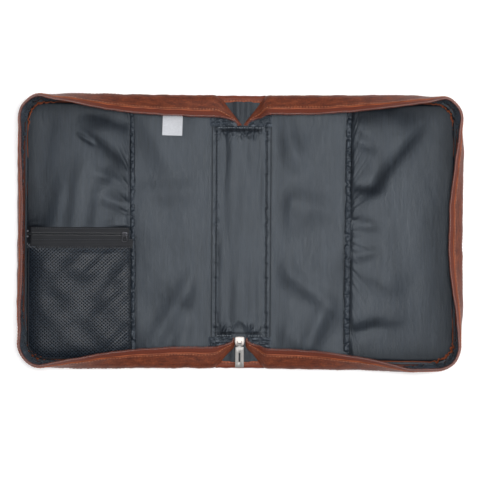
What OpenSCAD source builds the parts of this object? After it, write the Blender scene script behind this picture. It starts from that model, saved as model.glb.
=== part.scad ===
// Zip-around book case, lying open and flat with its leather side down.
// X runs across the open case, Y along the spine and Z up. The origin is on the ground, under
// the middle of the spine. Each cover folds up about a line along one edge of the spine.
// Whatever belongs to a cover starts as far from its fold line as it is high, and so does
// whatever belongs to the spine, so that a cover at 90 degrees meets the spine on a mitre.

/* [Case] */
// Width of the outer leather with the case open
open_w = 417; // [400:1:440]
// Length of the covers, along the spine
cover_h = 257; // [250:1:265]
// Width of the spine, between the two fold lines
spine_w = 56; // [56:1:60]
// Radius of the outer corners of each cover
corner_r = 22; // [20:1:24]

/* [Layers] */
// Thickness of the outer leather
leather_t = 1.2; // [1:0.1:1.4]
// Thickness of the foam
foam_t = 1.5; // [1:0.1:1.6]
// Thickness of the stiff board
board_t = 1.5; // [1:0.1:1.6]
// Thickness of the lining fabric
lining_t = 0.5; // [0.3:0.1:0.5]

/* [Walls] */
// Width of the zip wall from its foot to the end of the coil, along the leather
wall_w = 28.2; // [26:0.1:28.2]
// Part of that width which bulges outwards at the foot
bulge_w = 11; // [10:0.5:12]
// Lean of the wall at its foot, degrees inwards from upright
foot_lean = -55; // [-60:1:-50]
// Lean of the upper wall at the outer corners
corner_lean = -4; // [-6:1:0]
// Lean of the upper wall beside the spine
spine_lean = 76; // [70:1:80]
// Width of the bare zip tape
tape_w = 3.5; // [3:0.1:4]
// Width of the zip coil
coil_w = 1.35; // [1.2:0.05:1.5]

/* [Sleeves] */
// Distance of the left sleeve's opening edge from the middle of the spine
left_edge = 101; // [98:1:106]
// Distance of the right sleeve's opening edge from the middle of the spine
right_edge = 103; // [98:1:106]
// Width of the gathered hem
hem_w = 5.5; // [5:0.5:6]
// Height of the sleeve's inside
sleeve_gap = 4.2; // [4.2:0.1:4.4]
// Height of the mesh pocket's inside
pocket_gap = 4.4; // [4.2:0.1:4.5]
// Position along Y of the pocket zip's middle
pocket_zip_y = -3; // [-6:1:0]

/* [Zip] */
// Width of the main pull tab
pull_w = 8.2; // [7:0.1:8.4]
// Length of the main pull tab from its pivot
pull_l = 22.6; // [18:0.2:23]
// Turn of the pull tab below level, at rest
pull_tilt = 9; // [6:1:10]

/* [Hidden] */

// Clear gap between layers that lie on each other
gap = 0.05;
// Clear gap between the skins of a wall
wall_gap = 0.3;
// Clear gap between a cover and the spine along the mitre
fold_clear = 0.1;
// Distance that foam and board keep from the fold line, where the leather bends
stiff_clear = 7;

half_w = open_w / 2;
half_h = cover_h / 2;
fold_x = spine_w / 2;
fold_z = leather_t / 2;
straight_x = half_w - corner_r;
straight_y = half_h - corner_r;

// Heights of the undersides of the stacked layers
foam_z = leather_t + gap;
board_z = foam_z + foam_t + gap;
lining_z = board_z + board_t + gap;
inside_z = lining_z + lining_t + gap;
wall_z = leather_t + gap;

// How far each layer is drawn in from the edge of the leather
binding_inset = 1.7;
binding_t = 1.2;
binding_h = 4.8;
layer_inset = binding_inset + binding_t + 0.1;

// Zip wall
wall_leather_t = 1.2;
wall_lining_t = 0.4;
leather_w = wall_w - tape_w - coil_w - 2 * wall_gap;
tape_t = 0.6;
coil_h = 1.4;
// Lean of the upper wall in the middle of each cover's fore edge, left then right
fore_lean = [20, 42];
// Share of each end that leans inwards, from the spine outwards: [left, right]
top_reach = [1, 1.05];
bottom_reach = [1, 0.85];
// Rings of each wall along an end, round a corner and along the fore edge
end_rings = 12;
corner_rings = 6;
fore_rings = 10;

// Sleeves and pockets
sleeve_inset = 3.6;
sleeve_t = 0.4;
sleeve_z = inside_z + sleeve_gap;
sleeve_top = sleeve_z + sleeve_t + gap;
hem_t = 1.3;
mesh_z = sleeve_top + pocket_gap;
mesh_t = 0.4;
mesh_inset = 11.4;
mesh_top_y = -16.3;

// Pocket zip
pocket_plate_t = 0.65;
pocket_tape_z = sleeve_top + pocket_plate_t + 0.1;
pocket_tape_t = 0.4;
pocket_coil_z = pocket_tape_z + pocket_tape_t + gap;
pocket_coil_h = 1.15;
pocket_coil_w = 1.3;
pocket_slit = 0.8;
pocket_tape_y = 6.4;
pocket_band_y = 8;
pocket_zip_x = [-203, -(left_edge + hem_w + 0.1)];
pocket_slider_x = -109.8;
pocket_pivot_z = pocket_coil_z + pocket_coil_h + 2.4;

// Main zip
spine_top = inside_z + lining_t;
wall_end_z = spine_top + 0.3;
slider_y = -105;
pivot_y = -107;
slider_plate_z = spine_top + 0.15;
slider_plate_t = 0.8;
channel_h = 2.2;
crown_z = slider_plate_z + slider_plate_t + channel_h;
crown_t = 1;
pivot_z = crown_z + crown_t + 1.7;
pin_r = 0.8;
running_clear = 0.05;

leather_colour = "sienna";
edge_colour = "saddlebrown";
lining_colour = "slategray";
dark_colour = "darkslategray";

// ---------------------------------------------------------------- flat layers

// Outline of the left cover, drawn in by inset and stopping at a distance from the fold line
module cover_outline(inset, from_fold) {
    r = corner_r - inset;
    translate([-straight_x, inset - half_h])
        square([straight_x - fold_x - from_fold, 2 * (half_h - inset)]);
    translate([inset - half_w, -straight_y])
        square([corner_r, 2 * straight_y]);
    for (s = [-1, 1])
        translate([-straight_x, s * straight_y]) circle(r, $fn = 64);
}

module cover_layer(z, t, inset, least = 0) {
    translate([0, 0, z])
        linear_extrude(t)
            cover_outline(inset, max(least, z + t - fold_z + fold_clear));
}

module spine_layer(z, t, half_l, least = 0) {
    half = fold_x - max(least, z + t - fold_z + fold_clear);
    translate([-half, -half_l, z]) cube([2 * half, 2 * half_l, t]);
}

// ---------------------------------------------------------------- zip walls

function rad(a) = a * PI / 180;

// Lean of the upper wall along an end: t is 0 at the spine and 1 at the corner
function end_lean(t, reach) =
    corner_lean + (spine_lean - corner_lean) * pow(cos(90 * min(1, t / reach)), 0.8);

// A station is [stretch, t]: the end at +Y, a corner, the fore edge, a corner, the end at -Y
stations = concat(
    [for (i = [0:end_rings - 1]) [0, i / end_rings]],
    [for (i = [0:corner_rings - 1]) [1, i / corner_rings]],
    [for (i = [0:fore_rings - 1]) [2, i / fore_rings]],
    [for (i = [0:corner_rings - 1]) [3, i / corner_rings]],
    [for (i = [0:end_rings]) [4, i / end_rings]]
);

function lean_at(st, side) =
    st[0] == 0 ? end_lean(st[1], top_reach[side]) :
    st[0] == 4 ? end_lean(1 - st[1], bottom_reach[side]) :
    st[0] == 2 ? corner_lean + (fore_lean[side] - corner_lean) * pow(sin(180 * st[1]), 1.3) :
    corner_lean;

// Lean of the wall at slant distance v from its foot
function angle_at(v, lean) = foot_lean + (lean - foot_lean) * min(v, bulge_w) / bulge_w;

// [distance inwards, height] at slant distance v and depth d behind the outer face: an arc, then
// a straight line
function wall_point(v, d, lean) =
    let (a = angle_at(v, lean),
         r = bulge_w / rad(lean - foot_lean),
         rest = max(0, v - bulge_w))
    [r * (cos(foot_lean) - cos(a)) + rest * sin(lean) + d * cos(a),
     wall_z + r * (sin(a) - sin(foot_lean)) + rest * cos(lean) - d * sin(a)];

// Point [distance inwards, height] placed on the left cover at a station
function placed(st, p) =
    let (from_fold = fold_x + fold_clear + max(p[1] - fold_z, 0),
         run = straight_x - from_fold,
         end_x = -(from_fold + run * (st[0] == 0 ? st[1] : 1 - st[1])),
         turn = 90 * (st[0] == 1 ? 1 + st[1] : 2 + st[1]),
         centre = st[0] == 1 ? straight_y : -straight_y)
    st[0] == 0 ? [end_x, half_h - p[0], p[1]] :
    st[0] == 4 ? [end_x, p[0] - half_h, p[1]] :
    st[0] == 2 ? [p[0] - half_w, straight_y * (1 - 2 * st[1]), p[1]] :
    [-straight_x + (corner_r - p[0]) * cos(turn), centre + (corner_r - p[0]) * sin(turn), p[1]];

// Strip of the wall between slant distances v0 and v1 and depths d0 and d1
module wall_strip(side, v0, v1, d0, d1, steps) {
    m = 2 * (steps + 1);
    last = (len(stations) - 1) * m;
    points = [
        for (st = stations)
            let (lean = lean_at(st, side))
            each concat(
                [for (j = [0:steps]) placed(st, wall_point(v0 + (v1 - v0) * j / steps, d0, lean))],
                [for (j = [steps:-1:0]) placed(st, wall_point(v0 + (v1 - v0) * j / steps, d1, lean))])
    ];
    sides = [
        for (i = [0:len(stations) - 2], j = [0:m - 1])
            let (a = i * m + j, b = i * m + (j + 1) % m)
            each [[a, b, b + m], [a, b + m, a + m]]
    ];
    caps = [
        for (j = [0:steps - 1])
            let (a = j, b = j + 1, c = m - 2 - j, d = m - 1 - j)
            each [[c, b, a], [d, c, a],
                  [last + a, last + b, last + c], [last + a, last + c, last + d]]
    ];
    polyhedron(points, concat(sides, caps), convexity = 6);
}

// ---------------------------------------------------------------- spine

// Edge between leather and tape on the wall end at the top left, and the way it faces
edge_points = [[-21.4, 112.3], [-13, 111], [-5.6, 106.4], [-1.8, 101.2]];
edge_dirs = [[0, -1], [-0.3, -1], [-0.7, -0.8], [-1, -0.1]];
// The same beside the slider, where the wall ends stop short of it
slider_edge_points = [[-21.4, 112.3], [-13, 111], [-7.4, 108], [-5.2, 106.2]];
slider_edge_dirs = [[0, -1], [-0.3, -1], [-0.5, -0.9], [0, -1]];

function edge_line(pts, dirs, k) = [for (i = [0:3]) pts[i] + k * dirs[i]];
function reversed(v) = [for (i = [len(v) - 1:-1:0]) v[i]];

gusset_half = 19.4;
wall_end_t = 1.2;

module wall_end(pts, inner) {
    lip_h = wall_end_z - wall_z;
    translate([0, 0, wall_end_z])
        linear_extrude(wall_end_t)
            polygon(concat([[-21.4, half_h + 1.3], [-gusset_half, half_h + 1.3]], [inner],
                           reversed(pts)));
    translate([-21.4, half_h + 0.1, wall_z]) cube([1.2, 1.2, lip_h]);
}

module end_strip(pts, dirs, k0, k1, z, t) {
    translate([0, 0, z])
        linear_extrude(t)
            polygon(concat(edge_line(pts, dirs, k0), reversed(edge_line(pts, dirs, k1))));
}

module top_wall_end() {
    color(leather_colour) wall_end(edge_points, [-0.6, 102.6]);
}

module bottom_wall_end() {
    color(leather_colour) mirror([0, 1, 0]) wall_end(slider_edge_points, [-5.2, 109.2]);
}

module top_tape_end() {
    color(edge_colour)
        end_strip(edge_points, edge_dirs, gap, 2.6, wall_end_z + 0.3, tape_t);
}

module bottom_tape_end() {
    color(edge_colour)
        mirror([0, 1, 0])
            end_strip(slider_edge_points, slider_edge_dirs, gap, 2.6, wall_end_z + 0.3, tape_t);
}

module top_coil_end() {
    color("brown")
        end_strip(edge_points, edge_dirs, 2.6 + gap, 2.6 + coil_w, wall_end_z, coil_h);
}

module bottom_coil_end() {
    color("brown")
        mirror([0, 1, 0])
            end_strip(slider_edge_points, slider_edge_dirs, 2.6 + gap, 2.6 + coil_w,
                      wall_end_z, coil_h);
}

// Leather turned up and over the end of the spine
module binding() {
    half = gusset_half;
    plate_l = 7.3;
    color(leather_colour) {
        translate([-half, half_h + 1.3 - plate_l, inside_z]) cube([2 * half, plate_l, 0.5]);
        translate([-half, half_h + 0.1, fold_z]) cube([2 * half, 1.2, inside_z - fold_z]);
    }
}

// Triangle of lining fabric between the two wall ends
module gusset_liner() {
    foot_y = half_h - 6.1;
    color(dark_colour)
        translate([0, 0, inside_z])
            linear_extrude(0.4)
                polygon([[-17.6, foot_y], [17.6, foot_y], [1, 100.6], [-1, 100.6]]);
}

module spine_leather() { color(leather_colour) spine_layer(0, leather_t, half_h); }
module spine_foam() {
    color("gainsboro") spine_layer(foam_z, foam_t, half_h - layer_inset, stiff_clear);
}

module spine_board() {
    color("tan") spine_layer(board_z, board_t, half_h - layer_inset, stiff_clear);
}

module spine_lining() { color(lining_colour) spine_layer(lining_z, lining_t, half_h - layer_inset); }
module spine_strip() { color(dark_colour) spine_layer(inside_z, lining_t - gap, 100); }

// ---------------------------------------------------------------- covers

module cover_leather() { color(leather_colour) cover_layer(0, leather_t, 0); }
module cover_foam() { color("gainsboro") cover_layer(foam_z, foam_t, layer_inset, stiff_clear); }
module cover_board() { color("tan") cover_layer(board_z, board_t, layer_inset, stiff_clear); }
module cover_lining() { color(lining_colour) cover_layer(lining_z, lining_t, layer_inset); }

module wall_leather(side) {
    color(leather_colour) wall_strip(side, 0, leather_w, 0, wall_leather_t, 8);
}

module wall_lining(side) {
    depth = wall_leather_t + 2 * wall_gap;
    color(lining_colour) wall_strip(side, 0, leather_w, depth, depth + wall_lining_t, 8);
}

module zip_tape(side) {
    start = leather_w + wall_gap;
    color(edge_colour) wall_strip(side, start, start + tape_w, 0.3, 0.3 + tape_t, 1);
}

module zip_coil(side) {
    start = wall_w - coil_w;
    color("brown") wall_strip(side, start, wall_w, 0, coil_h, 1);
}

// Bound seam standing inside the foot of the walls
module seam_binding() {
    from_fold = wall_z + binding_h - fold_z + fold_clear;
    color("peru")
        translate([0, 0, wall_z])
            linear_extrude(binding_h)
                difference() {
                    cover_outline(binding_inset, from_fold);
                    cover_outline(binding_inset + binding_t, from_fold - 1);
                }
}

// Outline of a sleeve on the left cover, from the cover's edge to x = -edge
module sleeve_outline(inset, edge) {
    intersection() {
        cover_outline(inset, 0);
        translate([-half_w, -half_h]) square([half_w - edge, cover_h]);
    }
}

// Fabric sewn down on three sides, open towards the spine
module sleeve(edge) {
    color(dark_colour) {
        translate([0, 0, sleeve_z])
            linear_extrude(sleeve_t)
                sleeve_outline(sleeve_inset, edge + hem_w + gap);
        translate([0, 0, inside_z])
            linear_extrude(sleeve_gap)
                difference() {
                    sleeve_outline(sleeve_inset, edge + hem_w + gap);
                    sleeve_outline(sleeve_inset + sleeve_t, edge);
                }
    }
}

// Gathered hem with its elastic, standing over the lining and sewn down at both ends
module sleeve_hem(edge) {
    half_l = half_h - sleeve_inset - 2;
    foot_l = 2;
    color(lining_colour) {
        translate([-edge - hem_w, -half_l, sleeve_z]) cube([hem_w, 2 * half_l, hem_t]);
        for (y = [-half_l, half_l - foot_l])
            translate([-edge - hem_w, y, inside_z]) cube([hem_w, foot_l, sleeve_gap]);
    }
}

// ---------------------------------------------------------------- left cover's pocket

// Strip of the pocket zip between two distances from the zip's middle, on one side of it
module pocket_strip(near, far, z, t) {
    x0 = pocket_zip_x[0];
    translate([x0, min(near, far) + pocket_zip_y, z])
        cube([pocket_zip_x[1] - x0, abs(far - near), t]);
}

module pocket_upper_tape() {
    color("dimgray") pocket_strip(pocket_slit / 2, pocket_tape_y, pocket_tape_z, pocket_tape_t);
}

module pocket_lower_tape() {
    color("dimgray") pocket_strip(-pocket_slit / 2, -4.9, pocket_tape_z, pocket_tape_t);
}

module pocket_upper_coil() {
    color("gray")
        pocket_strip(pocket_slit / 2, pocket_slit / 2 + pocket_coil_w, pocket_coil_z, pocket_coil_h);
}

module pocket_lower_coil() {
    color("gray")
        pocket_strip(-pocket_slit / 2, -pocket_slit / 2 - pocket_coil_w, pocket_coil_z, pocket_coil_h);
}

// Two stops clamped on the coils' far ends
module pocket_zip_stops() {
    color("silver")
        for (s = [-1, 1])
            translate([pocket_zip_x[0], pocket_zip_y + s * 2.6 - 0.7, pocket_coil_z])
                cube([1.6, 1.4, 0.8]);
}

// Band that joins the lower tape to the mesh
module mesh_band() {
    color("dimgray") pocket_strip(-4.9 - gap, -5 - pocket_band_y, pocket_tape_z, pocket_tape_t);
}

module mesh_outline(inset, edge) {
    intersection() {
        sleeve_outline(inset, edge);
        translate([-half_w, -half_h]) square([half_w, half_h + mesh_top_y]);
    }
}

// Mesh sewn to the sleeve on three sides, open towards the zip
module mesh_panel() {
    edge = left_edge + hem_w + gap;
    color("darkgray") {
        translate([0, 0, mesh_z]) linear_extrude(mesh_t) mesh_outline(mesh_inset, edge);
        translate([0, 0, sleeve_top])
            linear_extrude(pocket_gap)
                difference() {
                    mesh_outline(mesh_inset, edge);
                    translate([mesh_t, 2 * mesh_t]) mesh_outline(mesh_inset + mesh_t, edge + 2 * mesh_t);
                }
    }
}

// Blank label, hanging from the seam at the top
module care_label() {
    color("white") translate([-75, 91.5, inside_z]) cube([19, 32, 0.25]);
}

module pocket_slider_body() {
    len_x = 5.6;
    wide_y = 5.4;
    crown = pocket_coil_z + pocket_coil_h + 0.1;
    post_h = pocket_pivot_z + 0.5 - crown;
    color("silver")
        translate([pocket_slider_x, pocket_zip_y, 0]) {
            translate([-len_x / 2, -wide_y / 2, sleeve_top]) cube([len_x, wide_y, pocket_plate_t]);
            translate([-len_x / 2, -wide_y / 2, crown]) cube([len_x, wide_y, 0.7]);
            translate([0.6, -0.25, sleeve_top]) cube([2, 0.5, crown - sleeve_top + 0.1]);
            for (x = [-2.6, 1.8]) translate([x, -0.5, crown]) cube([0.8, 1, post_h]);
            translate([-2.2, 0, pocket_pivot_z]) rotate([0, 90, 0]) cylinder(h = 4.4, r = 0.5, $fn = 24);
        }
}

module pocket_pull_loop() {
    wide = 5.2;
    near = 1.3;
    far = 7.4;
    rim = 0.9;
    t = 0.9;
    color("gray")
        translate([pocket_slider_x, pocket_zip_y, pocket_pivot_z])
            rotate([pull_tilt, 0, 0])
                difference() {
                    union() {
                        translate([-1.6, 0, 0]) rotate([0, 90, 0]) cylinder(h = 3.2, r = 1, $fn = 32);
                        translate([-1.6, -near - rim, -t / 2]) cube([3.2, near + rim, t]);
                        difference() {
                            translate([-wide / 2, -far, -t / 2]) cube([wide, far - near, t]);
                            translate([-wide / 2 + rim, -far + rim, -t])
                                cube([wide - 2 * rim, far - near - 2 * rim, 2 * t]);
                        }
                    }
                    translate([-2, 0, 0])
                        rotate([0, 90, 0]) cylinder(h = 4, r = 0.5 + running_clear, $fn = 32);
                }
}

// ---------------------------------------------------------------- main slider

// Half of the slider's outline, widest at the shoulders
shield = [[2.7, 5.2], [3.8, 4], [4.55, 1.9], [4.4, -0.5], [3.1, -3.6], [1.2, -6.2]];

module shield_plate(t) {
    linear_extrude(t)
        polygon(concat(shield, reversed([for (p = shield) [-p[0], p[1]]])));
}

module zip_slider_body() {
    lug_x = 1.6;
    lug_t = 0.9;
    color("whitesmoke") {
        translate([0, slider_y, slider_plate_z]) shield_plate(slider_plate_t);
        translate([0, slider_y, crown_z]) shield_plate(crown_t);
        translate([-0.9, slider_y - 0.5, slider_plate_z]) cube([1.8, 4.5, crown_z - slider_plate_z + 0.1]);
        for (s = [-1, 1])
            translate([s * (lug_x + lug_t / 2), pivot_y, 0]) {
                translate([-lug_t / 2, -1.4, crown_z]) cube([lug_t, 2.8, pivot_z - crown_z]);
                translate([-lug_t / 2, 0, pivot_z]) rotate([0, 90, 0]) cylinder(h = lug_t, r = 1.4, $fn = 32);
            }
        translate([-lug_x - 0.1, pivot_y, pivot_z])
            rotate([0, 90, 0]) cylinder(h = 2 * lug_x + 0.2, r = pin_r, $fn = 32);
    }
}

// Flat bar with one plain slot, hung on the slider's pin
module zip_pull_tab() {
    t = 1.2;
    neck = 2.9;
    near = 2.4;
    corner = 1;
    slot_w = 1.5;
    slot_l = 9;
    color("silver")
        translate([0, pivot_y, pivot_z])
            rotate([pull_tilt, 0, 0])
                difference() {
                    union() {
                        translate([-neck / 2, 0, 0]) rotate([0, 90, 0]) cylinder(h = neck, r = 1.5, $fn = 32);
                        translate([-neck / 2, -near - 1, -t / 2]) cube([neck, near + 1, t]);
                        translate([0, 0, -t / 2])
                            linear_extrude(t) {
                                translate([-pull_w / 2, corner - pull_l])
                                    square([pull_w, pull_l - near - 2 * corner]);
                                translate([corner - pull_w / 2, -pull_l])
                                    square([pull_w - 2 * corner, pull_l - near]);
                                for (x = [corner - pull_w / 2, pull_w / 2 - corner],
                                     y = [corner - pull_l, -near - corner])
                                    translate([x, y]) circle(corner, $fn = 32);
                            }
                    }
                    translate([-neck, 0, 0])
                        rotate([0, 90, 0]) cylinder(h = 2 * neck, r = pin_r + running_clear, $fn = 32);
                    translate([-slot_w / 2, -pull_l / 2 - 1.5 - slot_l / 2, -t]) cube([slot_w, slot_l, 2 * t]);
                }
}

spine_leather();
spine_foam();
spine_board();
spine_lining();
spine_strip();
binding();  // top_binding
mirror([0, 1, 0]) binding();  // bottom_binding
gusset_liner();  // top_gusset_liner
mirror([0, 1, 0]) gusset_liner();  // bottom_gusset_liner
top_wall_end();  // top_left_wall_end
mirror([1, 0, 0]) top_wall_end();  // top_right_wall_end
bottom_wall_end();  // bottom_left_wall_end
mirror([1, 0, 0]) bottom_wall_end();  // bottom_right_wall_end
top_tape_end();  // top_left_tape_end
mirror([1, 0, 0]) top_tape_end();  // top_right_tape_end
bottom_tape_end();  // bottom_left_tape_end
mirror([1, 0, 0]) bottom_tape_end();  // bottom_right_tape_end
top_coil_end();  // top_left_coil_end
mirror([1, 0, 0]) top_coil_end();  // top_right_coil_end
bottom_coil_end();  // bottom_left_coil_end
mirror([1, 0, 0]) bottom_coil_end();  // bottom_right_coil_end
cover_leather();  // left_cover_leather
cover_foam();  // left_cover_foam
cover_board();  // left_cover_board
cover_lining();  // left_cover_lining
wall_leather(0);  // left_wall_leather
wall_lining(0);  // left_wall_lining
zip_tape(0);  // left_zip_tape
zip_coil(0);  // left_zip_coil
seam_binding();  // left_seam_binding
sleeve(left_edge);  // left_sleeve
sleeve_hem(left_edge);  // left_sleeve_hem
pocket_upper_tape();
pocket_lower_tape();
pocket_upper_coil();
pocket_lower_coil();
pocket_zip_stops();
mesh_band();
mesh_panel();
care_label();
pocket_slider_body();
pocket_pull_loop();
mirror([1, 0, 0]) cover_leather();  // right_cover_leather
mirror([1, 0, 0]) cover_foam();  // right_cover_foam
mirror([1, 0, 0]) cover_board();  // right_cover_board
mirror([1, 0, 0]) cover_lining();  // right_cover_lining
mirror([1, 0, 0]) wall_leather(1);  // right_wall_leather
mirror([1, 0, 0]) wall_lining(1);  // right_wall_lining
mirror([1, 0, 0]) zip_tape(1);  // right_zip_tape
mirror([1, 0, 0]) zip_coil(1);  // right_zip_coil
mirror([1, 0, 0]) seam_binding();  // right_seam_binding
mirror([1, 0, 0]) sleeve(right_edge);  // right_sleeve
mirror([1, 0, 0]) sleeve_hem(right_edge);  // right_sleeve_hem
zip_slider_body();
zip_pull_tab();
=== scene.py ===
"""Zip-around book case lying open, leather side down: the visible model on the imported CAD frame.

X runs across the open case, Y along the spine, Z up. Everything is worked out in millimetres
and turned into metres when a mesh is made.
"""

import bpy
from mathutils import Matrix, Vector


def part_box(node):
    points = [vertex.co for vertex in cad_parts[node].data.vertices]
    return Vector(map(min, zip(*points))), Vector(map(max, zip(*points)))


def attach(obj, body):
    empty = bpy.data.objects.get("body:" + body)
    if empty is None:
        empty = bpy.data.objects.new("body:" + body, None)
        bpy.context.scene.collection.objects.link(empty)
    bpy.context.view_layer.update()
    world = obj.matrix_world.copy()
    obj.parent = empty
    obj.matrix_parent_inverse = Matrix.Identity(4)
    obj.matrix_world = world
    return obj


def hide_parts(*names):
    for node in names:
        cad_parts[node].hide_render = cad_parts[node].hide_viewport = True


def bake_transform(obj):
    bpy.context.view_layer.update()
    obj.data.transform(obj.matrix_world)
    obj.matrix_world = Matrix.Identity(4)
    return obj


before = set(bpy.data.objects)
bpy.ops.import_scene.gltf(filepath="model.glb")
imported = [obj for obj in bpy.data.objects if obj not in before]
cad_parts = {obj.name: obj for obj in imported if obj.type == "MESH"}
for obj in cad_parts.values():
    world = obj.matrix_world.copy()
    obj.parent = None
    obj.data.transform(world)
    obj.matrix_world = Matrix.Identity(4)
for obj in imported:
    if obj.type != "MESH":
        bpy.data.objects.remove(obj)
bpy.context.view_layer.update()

import math

import bmesh
import bpy
import numpy as np
from mathutils import Vector

MM = 0.001
PI = math.pi
UP = (0, 0, 1)


def low(node):
    """Lowest corner of a CAD node, in millimetres."""
    return np.array(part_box(node)[0]) / MM


def high(node):
    """Highest corner of a CAD node, in millimetres."""
    return np.array(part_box(node)[1]) / MM


# ------------------------------------------------------------------ sizes taken from the frame

HALF_W = -low("left_cover_leather")[0]
HALF_H = high("left_cover_leather")[1]
LEATHER_T = high("left_cover_leather")[2]
CORNER_R = 22.0
STRAIGHT_X = HALF_W - CORNER_R
STRAIGHT_Y = HALF_H - CORNER_R
FOLD_X = 28.0
WALL_Z = LEATHER_T + 0.05
LINING_Z = low("left_cover_lining")[2]
INSIDE_Z = high("left_cover_lining")[2]
LINING_INSET = HALF_H - high("left_cover_lining")[1]
BEND = 7.0  # reach given with a flat layer's fold line; nothing is bent by it
WALL_BEND = 12.0  # the same for the walls

WALL_W = 28.2  # width of the zip wall, foot to free edge
BULGE_W = 11.0  # the part of it that bulges outwards at the foot
FOOT_LEAN = {"left": -58.0, "right": -78.0}  # the wall bulges outwards above its foot
END_FOOT_LEAN = -60.0
CORNER_FOOT_LEAN = -22.0
LEATHER_W = 22.75  # the part of it that is leather
CORNER_LEAN = 1.0  # leans are degrees inwards from upright
SPINE_LEAN = {("left", 1): 78, ("left", -1): 77, ("right", 1): 67, ("right", -1): 67}
REACH = {("left", 1): 1.0, ("left", -1): 1.0, ("right", 1): 1.05, ("right", -1): 0.84}
FORE_LEAN = {"left": (16, 0.8), "right": (46, 0.9)}
APEX_X = {1: 1.6, -1: 0.5}  # the gussets sit slightly right of the middle

SLEEVE_EDGE = {"left": -high("left_sleeve_hem")[0], "right": low("right_sleeve_hem")[0]}
HEM_W = high("left_sleeve_hem")[0] - low("left_sleeve_hem")[0]
HEM_Z = low("left_sleeve_hem")[2]
ZIP_Y = (low("pocket_upper_tape")[1] + high("pocket_lower_tape")[1]) / 2
HEM_SLANT = {"left": 0.011, "right": 0.006}  # the hems run slightly further out at the top
HEM_LINE = {"left": (100.0, 5.1), "right": (99.4, 6.4)}  # open edge of each hem, and its width
STRIP_SIDE = {"left": (26.7, 23.1), "right": (28.5, 25.1)}  # edge and seam of the spine strip
POCKET_Z = low("pocket_upper_tape")[2]
MESH_Y = high("mesh_panel")[1]
SLEEVE_INSET = 5.2  # how far inside the rim the sleeves are sewn down
HEM_SEAMS = (0.1, 0.9)  # the hem's two seams, as shares of its width
GATHER = 7.5  # spacing of the gathers along a hem
SLEEVE_T = 0.35  # thickness of the sleeves' cloth
POCKET_OUT_X = -203.0  # outer end of the pocket zip
TAPE_T = 0.35  # thickness of the pocket zip's tapes
SLIDER_Y = -105.0  # middle of the main slider


# ------------------------------------------------------------------ small maths


def smooth(t):
    t = np.clip(t, 0, 1)
    return t * t * (3 - 2 * t)


def waves(x, y, seed, longest, shortest, stretch=(1, 1), count=16):
    """Smooth random field of spread about 1: a sum of sine waves with lengths in a range."""
    r = np.random.default_rng(seed)
    total = 0
    for _ in range(count):
        length = r.uniform(shortest, longest)
        turn = r.uniform(0, 2 * PI)
        phase = r.uniform(0, 2 * PI)
        along = x / stretch[0] * math.cos(turn) + y / stretch[1] * math.sin(turn)
        total = total + np.sin(2 * PI * along / length + phase)
    return total / math.sqrt(count / 2)


def curve(points, count):
    """Smooth line of `count` points through the given ones, evenly spaced along it."""
    p = np.array(points, float)
    p = np.vstack([2 * p[0] - p[1], p, 2 * p[-1] - p[-2]])
    out = []
    for i in range(1, len(p) - 2):
        t = np.linspace(0, 1, 24, endpoint=False)[:, None]
        a, b, c, d = p[i - 1], p[i], p[i + 1], p[i + 2]
        out.append(0.5 * (2 * b + (c - a) * t + (2 * a - 5 * b + 4 * c - d) * t**2
                          + (3 * b - a - 3 * c + d) * t**3))
    out.append(p[-2][None])
    return even(np.vstack(out), count)


def path_length(line):
    step = np.linalg.norm(np.diff(line, axis=0), axis=1)
    return np.concatenate([[0], np.cumsum(step)])


def at_lengths(want, s, rows):
    """Rows known at the lengths s, worked out at the lengths wanted."""
    return np.column_stack([np.interp(want, s, rows[:, k]) for k in range(rows.shape[1])])


def even(line, count):
    s = path_length(line)
    return at_lengths(np.linspace(0, s[-1], count), s, line)


def hump(value, middle, width):
    """1 at the middle, falling away smoothly over the width on both sides."""
    return np.exp(-((value - middle) / width) ** 2)


def grid_of(x, y, z=0.0):
    """Grid of points from arrays of X, Y and Z that fit together."""
    return np.stack(np.broadcast_arrays(x, y, z), axis=-1).astype(float)


def at_height(grid, z):
    """A copy of a grid with new heights."""
    out = grid.copy()
    out[..., 2] = z
    return out


def pair_up(s, v):
    """Texture coordinates of a strip: the length along it and the width across it."""
    return np.stack(np.broadcast_arrays(s[:, None], v[None]), -1)


def sample(grid, i, j):
    """Points of a grid at fractional rows i and columns j."""
    rows, cols = grid.shape[:2]
    i = np.clip(i, 0, rows - 1.001)
    j = np.clip(j, 0, cols - 1.001)
    a, b = i.astype(int), j.astype(int)
    u, v = (i - a)[..., None], (j - b)[..., None]
    top = grid[a, b] * (1 - v) + grid[a, b + 1] * v
    end = grid[a + 1, b] * (1 - v) + grid[a + 1, b + 1] * v
    return top * (1 - u) + end * u


def grid_line(grid, column, rows=None):
    """The line down a grid at a fractional column, over all of its rows or the chosen ones."""
    rows = np.arange(len(grid)) if rows is None else rows
    return sample(grid, rows.astype(float), np.full(len(rows), float(column)))


def finer(grid, rows, cols):
    """The same surface with more rows and columns, through a smooth (cubic) curve."""
    def along(g, count):
        n = len(g)
        t = np.linspace(0, n - 1, count)
        k = np.clip(t.astype(int), 0, n - 2)
        f = (t - k)[:, None, None]
        a, b = g[np.maximum(k - 1, 0)], g[k]
        c, d = g[k + 1], g[np.minimum(k + 2, n - 1)]
        return 0.5 * (2 * b + (c - a) * f + (2 * a - 5 * b + 4 * c - d) * f**2
                      + (3 * b - a - 3 * c + d) * f**3)
    return along(along(grid, rows).transpose(1, 0, 2), cols).transpose(1, 0, 2)


def normals(grid, towards):
    """Unit normals of a grid; `towards` is a vector, or one for each point, that they face."""
    n = np.cross(np.gradient(grid, axis=0), np.gradient(grid, axis=1))
    n /= np.maximum(np.linalg.norm(n, axis=2, keepdims=True), 1e-9)
    flip = np.sign(np.sum(n * towards, axis=2, keepdims=True))
    return n * np.where(flip == 0, 1, flip)


# ------------------------------------------------------------------ meshes


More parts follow.
